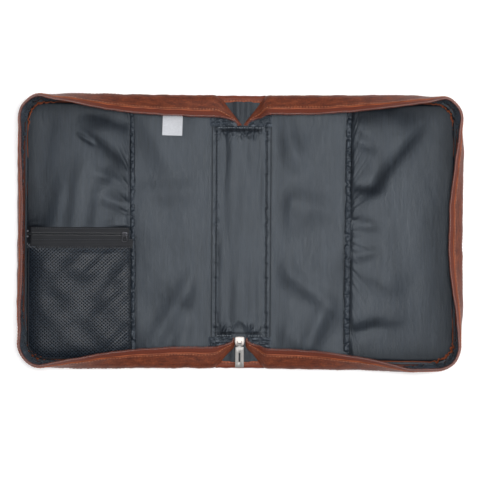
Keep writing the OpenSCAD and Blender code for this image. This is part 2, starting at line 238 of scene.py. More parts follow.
class Mesh:
    """Points and faces, in millimetres, that become one mesh object."""

    def __init__(self):
        self.points, self.uvs, self.faces, self.painted_light_and_wear = [], [], [], []
        self.count = 0

    def add(self, points, faces, uv=None, painted_light_and_wear=0.0):
        points = np.asarray(points, float).reshape(-1, 3)
        uv = points[:, :2] if uv is None else np.asarray(uv, float).reshape(-1, 2)
        self.points.append(points)
        self.uvs.append(uv)
        self.painted_light_and_wear.append(np.broadcast_to(np.asarray(painted_light_and_wear, float).ravel(), (len(points),)))
        self.faces += (np.asarray(faces) + self.count).tolist()
        self.count += len(points)

    def shell(self, outer, inner, uv=None, painted_light_and_wear=0.0):
        """Closed solid between two grids of the same shape."""
        rows, cols = outer.shape[:2]
        n = rows * cols
        idx = np.arange(n).reshape(rows, cols)
        a, b = idx[:-1, :-1].ravel(), idx[1:, :-1].ravel()
        c, d = idx[1:, 1:].ravel(), idx[:-1, 1:].ravel()
        face = np.column_stack([a, b, c, d])
        faces = [face, face[:, ::-1] + n]
        ring = np.concatenate([idx[0, :-1], idx[:-1, -1], idx[-1, :0:-1], idx[:0:-1, 0]])
        nxt = np.roll(ring, -1)
        faces.append(np.column_stack([ring, nxt, nxt + n, ring + n]))
        flat = outer[..., :2] if uv is None else uv
        painted_light_and_wear = np.broadcast_to(np.asarray(painted_light_and_wear, float), (rows, cols)).ravel()
        self.add(np.vstack([outer.reshape(-1, 3), inner.reshape(-1, 3)]), np.vstack(faces),
                 np.vstack([flat.reshape(-1, 2)] * 2), np.concatenate([painted_light_and_wear, painted_light_and_wear]))

    def tube(self, line, radius, sides=10, up=(0, 0, 1), flat=1.0, closed=False):
        """Tube along a line; `flat` squeezes it along `up`, and radius may change along it."""
        line = np.asarray(line, float)
        n = len(line)
        radius = np.broadcast_to(np.asarray(radius, float), (n,))
        if closed:
            along = np.roll(line, -1, 0) - np.roll(line, 1, 0)
        else:
            along = np.gradient(line, axis=0)
        along /= np.linalg.norm(along, axis=1)[:, None]
        up = np.broadcast_to(np.asarray(up, float), (n, 3))
        side = np.cross(along, up)
        side /= np.linalg.norm(side, axis=1)[:, None]
        over = np.cross(side, along)
        turn = np.linspace(0, 2 * PI, sides, endpoint=False)
        ring = (side[:, None] * np.cos(turn)[None, :, None]
                + over[:, None] * np.sin(turn)[None, :, None] * flat)
        points = line[:, None] + ring * radius[:, None, None]
        idx = np.arange(n * sides).reshape(n, sides)
        if closed:
            idx = np.vstack([idx, idx[:1]])
        nxt = np.roll(idx, -1, axis=1)
        faces = np.column_stack([idx[:-1].ravel(), idx[1:].ravel(),
                                 nxt[1:].ravel(), nxt[:-1].ravel()]).tolist()
        if not closed:
            faces += [idx[0].tolist(), idx[-1][::-1].tolist()]
        s = path_length(line)
        uv = np.stack(np.broadcast_arrays(s[:, None], turn[None] * radius.mean()), -1)
        base = self.count
        self.add(points, np.zeros((0, 4), int), uv)
        self.faces += [[v + base for v in f] for f in faces]

    def stamp(self, shape, centres, frames):
        """Copies of a small shape (points, faces) at each centre, turned by each 3x3 frame."""
        points, faces = shape
        n = len(points)
        placed = np.einsum("kij,nj->kni", np.asarray(frames), points)
        placed = placed + np.asarray(centres)[:, None]
        every = (np.asarray(faces)[None] + (np.arange(len(centres)) * n)[:, None, None])
        self.add(placed, every.reshape(-1, np.asarray(faces).shape[1]))

    def make(self, name, material, sharp):
        mesh = bpy.data.meshes.new(name)
        points = np.vstack(self.points) * MM
        mesh.from_pydata(points.tolist(), [], self.faces)
        work = bmesh_of(mesh)
        work.to_mesh(mesh)
        work.free()
        index = np.zeros(len(mesh.loops), np.int32)
        mesh.loops.foreach_get("vertex_index", index)
        layer = mesh.uv_layers.new(name="UVMap")
        layer.data.foreach_set("uv", (np.vstack(self.uvs)[index] * MM).astype(np.float32).ravel())
        # per-point share of painted light: painted shade on the nylon, painted highlight together
        # with wear on leather edges
        painted_light_and_wear = mesh.attributes.new("painted_light_and_wear", "FLOAT", "POINT")
        painted_light_and_wear.data.foreach_set("value", np.concatenate(self.painted_light_and_wear).astype(np.float32))
        mesh.shade_smooth()
        mesh.set_sharp_from_angle(angle=math.radians(sharp))
        mesh.materials.append(material)
        obj = bpy.data.objects.new(name, mesh)
        bpy.context.scene.collection.objects.link(obj)
        return obj


def bmesh_of(mesh):
    work = bmesh.new()
    work.from_mesh(mesh)
    bmesh.ops.recalc_face_normals(work, faces=work.faces)
    return work


def bead(length, width, height):
    """Small round-ended bar along X: a stitch or a coil tooth. Gives points and quads."""
    sides, rings = 6, 5
    t = np.linspace(-1, 1, rings)
    x = np.sin(t * PI / 2) * length / 2
    r = np.maximum(np.sqrt(np.maximum(1 - np.abs(t) ** 3, 0)), 0.25)
    turn = np.linspace(0, 2 * PI, sides, endpoint=False)
    points = np.zeros((rings, sides, 3))
    points[..., 0] = x[:, None]
    points[..., 1] = r[:, None] * np.cos(turn) * width / 2
    points[..., 2] = r[:, None] * np.sin(turn) * height / 2
    idx = np.arange(rings * sides).reshape(rings, sides)
    nxt = np.roll(idx, -1, axis=1)
    faces = np.column_stack([idx[:-1].ravel(), idx[1:].ravel(), nxt[1:].ravel(), nxt[:-1].ravel()])
    caps = [[idx[k, 0], idx[k, j], idx[k, j + 1], idx[k, min(j + 2, sides - 1)]]
            for k in (0, -1) for j in range(1, sides - 2, 2)]
    return points.reshape(-1, 3), np.vstack([faces, np.array(caps)])


def frames_along(line, up):
    """3x3 frames whose X follows the line and whose Z is nearest to up."""
    along = np.gradient(line, axis=0)
    along /= np.linalg.norm(along, axis=1)[:, None]
    up = np.broadcast_to(np.asarray(up, float), line.shape)
    side = np.cross(up, along)
    side /= np.linalg.norm(side, axis=1)[:, None]
    over = np.cross(along, side)
    return np.stack([along, side, over], axis=2)


def stitch(mesh, line, up, pitch, length, width, height, lift, sway=0.0, seed=1):
    """Row of stitches along a line that lies on a surface whose normals are `up`.

    `sway` is the spread of their random turns, in radians.
    """
    line = np.asarray(line, float)
    s = path_length(line)
    count = max(2, int(s[-1] / pitch))
    want = (np.arange(count) + 0.5) * s[-1] / count
    at = at_lengths(want, s, line)
    tops = at_lengths(want, s, np.broadcast_to(np.asarray(up, float), line.shape))
    tops /= np.linalg.norm(tops, axis=1)[:, None]
    frames = frames_along(at, tops)
    if sway:
        turn = np.random.default_rng(seed).normal(0, sway, count)
        c, z = np.cos(turn), np.sin(turn)
        spin = np.zeros((count, 3, 3))
        spin[:, 0, 0] = spin[:, 1, 1] = c
        spin[:, 0, 1], spin[:, 1, 0] = -z, z
        spin[:, 2, 2] = 1
        frames = frames @ spin
    mesh.stamp(bead(length, width, height), at + tops * lift, frames)


# ------------------------------------------------------------------ materials


def colour(r, g, b):
    """A display colour, 0 to 255, as the linear colour that nodes take."""
    def line(c):
        c /= 255
        return c / 12.92 if c <= 0.04045 else ((c + 0.055) / 1.055) ** 2.4
    return (line(r), line(g), line(b), 1.0)


BAND_SCALE = 0.314159  # scale of a wave node whose stripes repeat every millimetre


def shaded(tint, share):
    """A linear colour made darker or lighter, held to at most 1."""
    return tuple(min(1.0, c * share) for c in tint[:3]) + (1.0,)


class Look:
    """One node material, with short calls for the nodes that all of them use."""

    def __init__(self, name, source="UV", **shader):
        self.material = bpy.data.materials.new(name)
        self.material.use_nodes = True
        self.tree = self.material.node_tree
        self.shader = self.tree.nodes["Principled BSDF"]
        for key, value in shader.items():
            self.shader.inputs[key.replace("_", " ")].default_value = value
        coords = self.tree.nodes.new("ShaderNodeTexCoord")
        self.mm = self.vector("MULTIPLY", coords.outputs[source], (1000, 1000, 1000))

    def link(self, source, node, key):
        if isinstance(source, (int, float, tuple)):
            node.inputs[key].default_value = source
        else:
            self.tree.links.new(source, node.inputs[key])

    def vector(self, kind, a, b):
        n = self.tree.nodes.new("ShaderNodeVectorMath")
        n.operation = kind
        self.link(a, n, 0)
        self.link(b, n, 1)
        return n.outputs[0]

    def calc(self, kind, a, b=0.0, clamp=False):
        n = self.tree.nodes.new("ShaderNodeMath")
        n.operation = kind
        n.use_clamp = clamp
        self.link(a, n, 0)
        self.link(b, n, 1)
        return n.outputs[0]

    def noise(self, size, stretch=(1, 1), detail=3, rough=0.55):
        """Noise with patches about `size` mm across, drawn out along X and Y by `stretch`."""
        n = self.tree.nodes.new("ShaderNodeTexNoise")
        scale = (1 / size / stretch[0], 1 / size / stretch[1], 1)
        self.link(self.vector("MULTIPLY", self.mm, scale), n, "Vector")
        n.inputs["Scale"].default_value = 1
        n.inputs["Detail"].default_value = detail
        n.inputs["Roughness"].default_value = rough
        return n.outputs["Fac"]

    def cells(self, size, feature="F1"):
        n = self.tree.nodes.new("ShaderNodeTexVoronoi")
        n.feature = feature
        self.link(self.vector("MULTIPLY", self.mm, (1 / size, 1 / size, 1)), n, "Vector")
        n.inputs["Scale"].default_value = 1
        return n.outputs["Distance"]

    def bands(self, pitch, axis="X", warp=0.0):
        """Soft stripes that repeat every `pitch` mm along an axis."""
        n = self.tree.nodes.new("ShaderNodeTexWave")
        n.bands_direction = axis
        self.link(self.mm, n, "Vector")
        n.inputs["Scale"].default_value = BAND_SCALE / pitch
        n.inputs["Distortion"].default_value = warp
        n.inputs["Detail"].default_value = 1
        return n.outputs["Fac"]

    def spread(self, value, lo, hi, out_lo=0.0, out_hi=1.0):
        n = self.tree.nodes.new("ShaderNodeMapRange")
        self.link(value, n, "Value")
        n.inputs["From Min"].default_value = lo
        n.inputs["From Max"].default_value = hi
        n.inputs["To Min"].default_value = out_lo
        n.inputs["To Max"].default_value = out_hi
        return n.outputs["Result"]

    def blend(self, share, a, b, kind="MIX"):
        n = self.tree.nodes.new("ShaderNodeMix")
        n.data_type = "RGBA"
        n.blend_type = kind
        self.link(share, n, 0)
        self.link(a, n, 6)
        self.link(b, n, 7)
        return n.outputs[2]

    def attribute(self, name):
        n = self.tree.nodes.new("ShaderNodeAttribute")
        n.attribute_name = name
        return n.outputs["Fac"]

    def bump(self, height, depth, strength=1.0, under=None):
        """Bump whose full height is `depth` mm."""
        n = self.tree.nodes.new("ShaderNodeBump")
        n.inputs["Strength"].default_value = strength
        n.inputs["Distance"].default_value = depth * MM
        self.link(height, n, "Height")
        if under is not None:
            self.link(under, n, "Normal")
        return n.outputs["Normal"]

    def finish(self, base=None, normal=None, **others):
        if base is not None:
            self.link(base, self.shader, "Base Color")
        if normal is not None:
            self.link(normal, self.shader, "Normal")
        for key, value in others.items():
            self.link(value, self.shader, key.replace("_", " "))
        return self.material


def leather(name, dark, mid, light, streak=(9, 1), rough=0.46):
    """Coated leather: pebble grain, long soft streaks, and edges that a per-point attribute makes
    lighter and smoother, partly wear and partly a painted highlight.
    """
    m = Look(name, Specular_IOR_Level=0.26)
    patches = m.noise(3.0, streak, detail=5, rough=0.65)
    fine = m.noise(0.9, (streak[0] * 0.4, 1), detail=3)
    mixed = m.calc("ADD", m.calc("MULTIPLY", patches, 0.65), m.calc("MULTIPLY", fine, 0.35))
    base = m.blend(m.spread(mixed, 0.34, 0.50), dark, mid)
    base = m.blend(m.spread(mixed, 0.52, 0.72), base, light)
    speckle = m.noise(1.5, (1, 1), detail=2)
    base = m.blend(m.spread(speckle, 0.36, 0.6, 0.34, 0.0), base, dark)
    # lighter, smoother edges from the per-point attribute: worn edges with a painted highlight on
    # turned edges
    worn = m.attribute("painted_light_and_wear")
    base = m.blend(m.calc("MULTIPLY", worn, m.spread(fine, 0.3, 0.6, 0.5, 1.0), clamp=True), base,
                   shaded(light, 1.55))
    pits = m.spread(m.cells(0.85, "DISTANCE_TO_EDGE"), 0.0, 0.22)
    base = m.blend(m.spread(pits, 0, 0.7, 0.28, 0.0), base, dark)
    soft = m.noise(7, (1, 1), detail=2)
    bumps = m.bump(soft, 0.5, 0.35)
    bumps = m.bump(m.noise(0.5, (1, 1), detail=2), 0.05, 0.6, bumps)
    bumps = m.bump(pits, 0.09, 0.8, bumps)
    gloss = m.spread(m.calc("SUBTRACT", m.noise(3.0), m.calc("MULTIPLY", worn, 0.3)), 0.2, 0.8,
                     rough - 0.08, rough + 0.12)
    return m.finish(base, bumps, Roughness=gloss)


WEAVE = 0.42  # spacing of the nylon's threads
BLACK = (0.002, 0.002, 0.003, 1)


def satin(name, dark, light, slub=(1, 26), rough=0.34, gloss_level=0.3):
    """Satin nylon: thin long slubs, a fine plain weave, a soft sheen, and painted shade from a
    per-point attribute.
    """
    m = Look(name, Specular_IOR_Level=gloss_level, Sheen_Weight=0.1, Sheen_Roughness=0.4,
             Sheen_Tint=(0.75, 0.85, 0.95, 1), Specular_Tint=(0.84, 0.92, 1.0, 1))
    threads = m.noise(0.75, slub, detail=2, rough=0.7)
    broad = m.noise(2.6, (slub[0], slub[1] * 0.8), detail=2)
    clouds = m.noise(28, (1, 1.6), detail=2)
    tone = m.calc("ADD", m.calc("MULTIPLY", threads, 0.55),
                  m.calc("ADD", m.calc("MULTIPLY", broad, 0.25), m.calc("MULTIPLY", clouds, 0.2)))
    base = m.blend(m.spread(tone, 0.38, 0.62), dark, light)
    warp = m.bands(WEAVE, "X")
    weft = m.bands(WEAVE, "Y")
    cloth = m.calc("MULTIPLY", warp, weft)
    base = m.blend(m.spread(cloth, 0, 1, 0.16, 0.0), base, shaded(dark, 0.5))
    # painted shade: the per-point attribute darkens the colour towards black and dims the gloss in
    # creases, at seams, near walls and under the mesh
    shade = m.attribute("painted_light_and_wear")
    base = m.blend(m.calc("MULTIPLY", shade, 0.8, clamp=True), base, BLACK)
    bumps = m.bump(cloth, 0.05, 0.5)
    bumps = m.bump(threads, 0.10, 0.55, bumps)
    bumps = m.bump(m.noise(9, (1, 2.2), detail=2), 0.45, 0.5, bumps)
    gloss = m.spread(threads, 0.3, 0.7, rough - 0.05, rough + 0.09)
    lit = m.calc("SUBTRACT", 1.0, m.calc("MULTIPLY", shade, 0.85, clamp=True))
    level = m.calc("MULTIPLY", lit, gloss_level)
    return m.finish(base, bumps, Roughness=gloss, Specular_IOR_Level=level)


def ribbon(name, dark, light, pitch):
    """Woven tape: ribs along its length, small cross threads, and fuzz in the colour."""
    m = Look(name, Specular_IOR_Level=0.2, Sheen_Weight=0.08)
    rib = m.bands(pitch, "Y", 0.25)
    cross = m.bands(pitch * 0.7, "X", 0.2)
    both = m.calc("ADD", m.calc("MULTIPLY", rib, 0.65), m.calc("MULTIPLY", cross, 0.35))
    fuzz = m.noise(0.9, (6, 1), detail=3)
    base = m.blend(m.calc("MULTIPLY", both, m.spread(fuzz, 0.3, 0.65, 0.5, 1.0)), dark, light)
    worn = m.attribute("painted_light_and_wear")
    base = m.blend(m.calc("MULTIPLY", worn, 0.8), base, shaded(light, 1.7))
    bumps = m.bump(both, 0.12, 0.7)
    return m.finish(base, bumps, Roughness=m.spread(fuzz, 0, 1, 0.45, 0.65))


def plastic(name, dark, light, rough=0.3, gloss_level=0.5):
    """Moulded nylon or thread: slight mottling, fine scratches and a soft gloss."""
    m = Look(name, Specular_IOR_Level=gloss_level)
    mottle = m.noise(1.2, (3, 1), detail=4)
    base = m.blend(m.spread(mottle, 0.35, 0.65), dark, light)
    bumps = m.bump(m.noise(0.35, (5, 1), detail=2), 0.04, 0.5)
    return m.finish(base, bumps, Roughness=m.spread(mottle, 0.3, 0.7, rough - 0.06, rough + 0.12))


def metal(name, tint, rough=0.24, brush=(14, 1)):
    """Plated metal: brushed lines, clouded polish and small dull spots."""
    m = Look(name, Metallic=0.8)
    lines = m.noise(0.22, brush, detail=3, rough=0.6)
    clouds = m.noise(3.5, (1, 1), detail=3)
    dull = shaded(tint, 0.72)
    base = m.blend(m.spread(clouds, 0.35, 0.7, 0.45, 0.0), tint, dull)
    bumps = m.bump(lines, 0.03, 0.45)
    worn = m.calc("ADD", m.calc("MULTIPLY", lines, 0.12), m.calc("MULTIPLY", clouds, 0.12))
    return m.finish(base, bumps, Roughness=m.calc("ADD", worn, rough - 0.1))


def panel(name, dark, light, size, depth):
    """Board or foam: fibres or open cells."""
    m = Look(name, "Object", Specular_IOR_Level=0.2)
    cell = m.cells(size)
    speck = m.noise(size * 2, (1, 1), detail=5)
    share = m.calc("MULTIPLY", m.spread(cell, 0, 0.8), m.spread(speck, 0.3, 0.7))
    return m.finish(m.blend(share, dark, light), m.bump(cell, depth, 0.8),
                    Roughness=m.spread(speck, 0.3, 0.7, 0.8, 0.95))


LEATHER = leather("leather_tan", colour(56, 20, 9), colour(104, 46, 22), colour(150, 77, 42),
                  streak=(3.4, 1))
LEATHER_BASE = leather("leather_cover", colour(60, 22, 12), colour(101, 44, 25),
                       colour(132, 66, 40), streak=(1.3, 1.6))
EDGE_LEATHER = leather("leather_turned_edge", colour(68, 25, 12), colour(116, 50, 26),
                       colour(158, 82, 48), streak=(7, 1), rough=0.42)
TAPE = ribbon("zip_tape_brown", colour(62, 22, 13), colour(104, 46, 28), 0.7)
COIL = plastic("zip_coil_brown", colour(66, 24, 13), colour(124, 58, 36), 0.34)
PIPING = ribbon("seam_binding_rust", colour(84, 36, 17), colour(150, 74, 38), 0.5)
NYLON = satin("nylon_slate", colour(17, 21, 26), colour(37, 43, 51))
NYLON_WALL = satin("nylon_wall", colour(34, 39, 45), colour(62, 69, 78), slub=(26, 1))
NYLON_DARK = satin("nylon_gusset", colour(20, 22, 26), colour(36, 39, 44), gloss_level=0.2)
HEM = satin("nylon_hem", colour(20, 25, 31), colour(44, 51, 60), slub=(1, 3))
NET = plastic("mesh_yarn", colour(14, 19, 26), colour(40, 49, 60), 0.36, 0.32)
POCKET_TAPE = ribbon("pocket_tape_grey", colour(9, 10, 13), colour(32, 34, 40), 1.5)
POCKET_COIL = plastic("pocket_coil_grey", colour(20, 21, 24), colour(44, 46, 50), 0.36, 0.35)
THREAD_BROWN = plastic("thread_brown", colour(122, 60, 34), colour(182, 114, 76), 0.45)
THREAD_GREY = plastic("thread_grey", colour(22, 24, 28), colour(56, 61, 67), 0.42)
THREAD_LIGHT = plastic("thread_light", colour(84, 90, 96), colour(138, 145, 152), 0.42)
THREAD_DARK = plastic("thread_dark", colour(10, 11, 14), colour(26, 29, 33), 0.5, 0.2)
LABEL = satin("label_white", colour(186, 187, 191), colour(200, 201, 205), slub=(3, 2), rough=0.5)
SILVER = metal("slider_silver", colour(200, 192, 187), 0.5)
STEEL = metal("pull_steel", colour(166, 163, 160), 0.5, (1, 14))
DARK_STEEL = metal("pocket_gunmetal", colour(74, 74, 78), 0.45)
BOARD = panel("board_fibre", colour(120, 96, 66), colour(176, 150, 112), 0.7, 0.08)
FOAM = panel("foam_cells", colour(190, 190, 184), colour(226, 226, 220), 0.5, 0.15)


# ------------------------------------------------------------------ outlines of the flat layers


def half_height(x, inset):
    """Half height of a cover at X (either side), drawn in by inset at the rim."""
    over = np.clip(np.abs(x) - STRAIGHT_X, 0, CORNER_R - inset)
    return STRAIGHT_Y + np.sqrt(np.maximum((CORNER_R - inset) ** 2 - over**2, 0))


def columns(x_in, inset, step):
    """X positions from x_in (near the spine) out to the rim, closer together round the corner."""
    straight = np.linspace(x_in, STRAIGHT_X, max(2, int((STRAIGHT_X - x_in) / step) + 1))
    turn = np.radians(np.linspace(0, 90, 19))[1:]
    return np.concatenate([straight, STRAIGHT_X + (CORNER_R - inset) * np.sin(turn)])


def cover_grid(sign, x_in, inset, step, rows):
    """Flat grid [columns, rows, xy] over one cover, from x_in to the rim; sign is -1 for left."""
    x = columns(x_in, inset, step)
    half = half_height(x, inset)
    return grid_of(sign * x[:, None], half[:, None] * np.linspace(-1, 1, rows))


SIDES = (("left", -1), ("right", 1))
PLACE = {1: "top", -1: "bottom"}


def fold_over(obj, sign, reach):
    """Bakes a piece's placement into its points; it is not bent about the fold line."""
    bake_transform(obj)


def placed(mesh, name, material, holder, slot=None, nodes=(), sharp=50):
    """Makes a piece and ties it to the frame.

    The holder is the body that it rides on, or the (sign, reach) of a fold line, which does not
    bend it.
    The slot is not used; the CAD nodes that it stands for are given where it has them.
    """
    piece = mesh.make(name, material, sharp)
    if nodes:
        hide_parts(*nodes)
    if isinstance(holder, str):
        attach(piece, holder)
    else:
        fold_over(piece, *holder)
    return piece


# ------------------------------------------------------------------ zip walls

V_TOP_OUT = [(28, 128.5, 0), (23.5, 128.6, 1.6), (21.6, 128.2, 6.5), (12.0, 116.2, 6.7),
             (4.4, 106.6, 6.6), (0.7, 101.8, 6.3)]
V_TOP_FREE = [(28, 110.0, 13.6), (21, 109.4, 11.2), (14.5, 108.4, 9.3), (8.5, 106.6, 8.3),
              (4.9, 104.3, 7.6), (3.4, 101.2, 6.6)]
V_END_OUT = [(28, 128.5, 0), (23.5, 128.6, 1.6), (21.6, 128.2, 6.5), (12.4, 116.9, 6.7),
             (6.0, 110.4, 6.7), (4.9, 104.0, 6.7)]
V_END_FREE = [(28, 110.0, 13.6), (21, 109.2, 11.2), (14.5, 108.0, 9.4), (9.2, 106.2, 8.8),
              (6.6, 104.2, 8.6), (5.6, 101.6, 8.2)]


def end_lean(t, name, end):
    share = np.cos(PI / 2 * np.minimum(1, t / REACH[name, end])) ** 0.8
    return CORNER_LEAN + (SPINE_LEAN[name, end] - CORNER_LEAN) * share


def wall_stations(name, sign):
    """The wall's rings, from the top gusset round the cover to the bottom one.

    Gives, for each ring, its base point, its inward direction, the lean of its upper part, and
    how far it is into a gusset (0 outside them, 1 at the tip), with which end it is at.
    """
    base, inward, lean, tip, end = [], [], [], [], []
    end_t = np.linspace(0, 1, 76)[1:]
    for y_sign in (1, -1):
        rings = []
        for q in np.linspace(1, 0, 30):
            rings.append(((sign * FOLD_X, y_sign * HALF_H), (0, -y_sign), None, q, y_sign))
        for t in end_t:
            x = sign * (FOLD_X + (STRAIGHT_X - FOLD_X) * t)
            rings.append(((x, y_sign * HALF_H), (0, -y_sign), end_lean(t, name, y_sign), 0, y_sign))
        for turn in np.radians(np.linspace(90, 0, 21))[1:]:
            out = (math.cos(turn), math.sin(turn))
            point = (sign * (STRAIGHT_X + CORNER_R * out[0]),
                     y_sign * (STRAIGHT_Y + CORNER_R * out[1]))
            rings.append((point, (-sign * out[0], -y_sign * out[1]), CORNER_LEAN, 0, y_sign))
        for t in np.linspace(0, 0.5, 50)[1:]:
            most, power = FORE_LEAN[name]
            angle = CORNER_LEAN + (most - CORNER_LEAN) * math.sin(PI * t) ** power
            y = y_sign * STRAIGHT_Y * (1 - 2 * t)
            rings.append(((sign * HALF_W, y), (-sign, 0), angle, 0, y_sign))
        if y_sign == -1:
            rings = rings[-2::-1]
        for point, into, angle, q, at in rings:
            base.append(point)
            inward.append(into)
            lean.append(SPINE_LEAN[name, at] if angle is None else angle)
            tip.append(q)
            end.append(at)
    return (np.array(base), np.array(inward), np.array(lean, float), np.array(tip), np.array(end))


def curve_at(line, share):
    """The point at a share of the way along a line of evenly spaced points."""
    strip = line[:, None].repeat(2, 1)
    return sample(strip, np.array([share * (len(line) - 1)]), np.array([0.0]))[0]


def wall_surface(name, sign, columns_v):
    """Outer face of a wall as a grid [ring, v], with what its other pieces need.

    Gives the grid, the distance along it, and each ring's inward direction, lean and tip.
    """
    base, inward, lean, tip, end = wall_stations(name, sign)
    s = path_length(base)
    seed = 11 if sign < 0 else 23
    gusset = smooth(tip / 0.1)
    calm = 1 - gusset
    lean = lean + calm * 0.9 * waves(s, 0, seed, 90, 40)
    tilt = np.clip(28 - 0.38 * np.maximum(lean, 0), 2, 28)
    fine = np.linspace(0, WALL_W, 95)
    v_mid = (fine[1:] + fine[:-1]) / 2
    step = fine[1] - fine[0]
    near = np.minimum(np.abs(base[:, 0]) - STRAIGHT_X, np.abs(base[:, 1]) - STRAIGHT_Y)
    corner = smooth((near + 34) / 34)
    foot = np.where(np.abs(base[:, 0]) > STRAIGHT_X + 5, FOOT_LEAN[name], END_FOOT_LEAN)
    foot = eased(s, foot * (1 - corner) + CORNER_FOOT_LEAN * corner)[:, None]
    lean = eased(s, lean)
    angle = np.radians(foot + (lean[:, None] - foot) * smooth_bulge(v_mid)
                       + tilt[:, None] * smooth((v_mid - 21.6) / 3.2))
    n = np.concatenate([np.zeros((len(s), 1)), np.cumsum(np.sin(angle) * step, 1)], 1)
    z = np.concatenate([np.zeros((len(s), 1)), np.cumsum(np.cos(angle) * step, 1)], 1) + WALL_Z
    pick = np.interp(columns_v, fine, np.arange(len(fine)))
    whole = pick.astype(int).clip(0, len(fine) - 2)
    part = pick - whole
    n = n[:, whole] * (1 - part) + n[:, whole + 1] * part
    z = z[:, whole] * (1 - part) + z[:, whole + 1] * part
    ripple = 0.16 * waves(s[:, None], columns_v[None], seed + 1, 34, 12, (1, 2.2))
    foot = hump(columns_v, 3, 4)
    ripple = ripple + 0.14 * foot * waves(s, 0, seed + 2, 9, 5)[:, None]
    held = smooth(columns_v / 3.0) * calm[:, None]
    n = n + ripple * held
    z = z + 0.3 * calm[:, None] * (columns_v / WALL_W) * waves(s, 0, seed + 3, 70, 26)[:, None]
    grid = np.zeros((len(s), len(columns_v), 3))
    grid[..., :2] = base[:, None] + n[..., None] * inward[:, None]
    grid[..., 2] = z
    for y_sign, out_line, free_line in ((1, V_TOP_OUT, V_TOP_FREE), (-1, V_END_OUT, V_END_FREE)):
        rows = np.nonzero((tip > 0) & (end == y_sign))[0]
        first = np.nonzero((tip == 0) & (end == y_sign) & (np.abs(base[:, 0]) < FOLD_X + 2.2))[0][0]
        outer = curve(out_line, 200)
        free = curve(free_line, 200)
        start = grid[first].copy()
        start[:, 0] = sign * FOLD_X
        for row in rows:
            q = tip[row]
            a, b = curve_at(outer, q), curve_at(free, q)
            share = columns_v / WALL_W
            flat = a + (b - a) * share[:, None]
            flat[:, 2] += 1.5 * np.sin(PI * share) * (1 - q)
            flat[:, 2] += WALL_Z * (1 - share) * smooth(1 - a[2] / 4)
            flat[:, 0] = sign * flat[:, 0] + APEX_X[y_sign] * smooth(q / 0.4)
            flat[:, 1] *= y_sign
            shifted = start.copy()
            out = (a[0] - FOLD_X) * (1 - share)
            shifted[:, 0] = sign * (FOLD_X + out + (b[0] - FOLD_X) * share)
            mixed = smooth(q / 0.5)
            grid[row] = shifted * (1 - mixed) + flat * mixed
    return grid, path_length(grid[:, len(columns_v) // 2]), inward, lean, tip


def eased(s, value):
    """Running mean of a value along the wall, over about 11 mm."""
    near = hump(s[:, None], s[None], 11.0) * np.gradient(s)[None]
    return (near @ value) / near.sum(1)


def smooth_bulge(v):
    """Share of the turn from the foot's lean to the upper lean at distance v from the foot."""
    t = np.clip(v / BULGE_W, 0, 1.25) / 1.25
    return np.clip(1 - (1 - t) ** 1.6, 0, 1)


def inward_of(inward, v, tip):
    """A direction into the case for each point of a wall: up near the foot, down above it."""
    down = 1.5 * smooth((9 - v) / 4)[None] * (1 - smooth(tip / 0.3))[:, None] - 0.6
    flat = np.broadcast_to(inward[:, None], (len(inward), len(v), 2))
    return np.concatenate([flat, down[..., None]], axis=2)


WALL_V = np.concatenate([np.linspace(0, 20, 22), np.linspace(20, LEATHER_W, 6)[1:],
                         np.linspace(LEATHER_W, WALL_W, 8)[1:]])
EDGE_COL = 26  # column of WALL_V where the leather ends


def with_ends(name, part, end):
    """CAD nodes of a part that runs round a wall: the part and its two short ends."""
    return [f"{name}_{part}", f"top_{name}_{end}_end", f"bottom_{name}_{end}_end"]


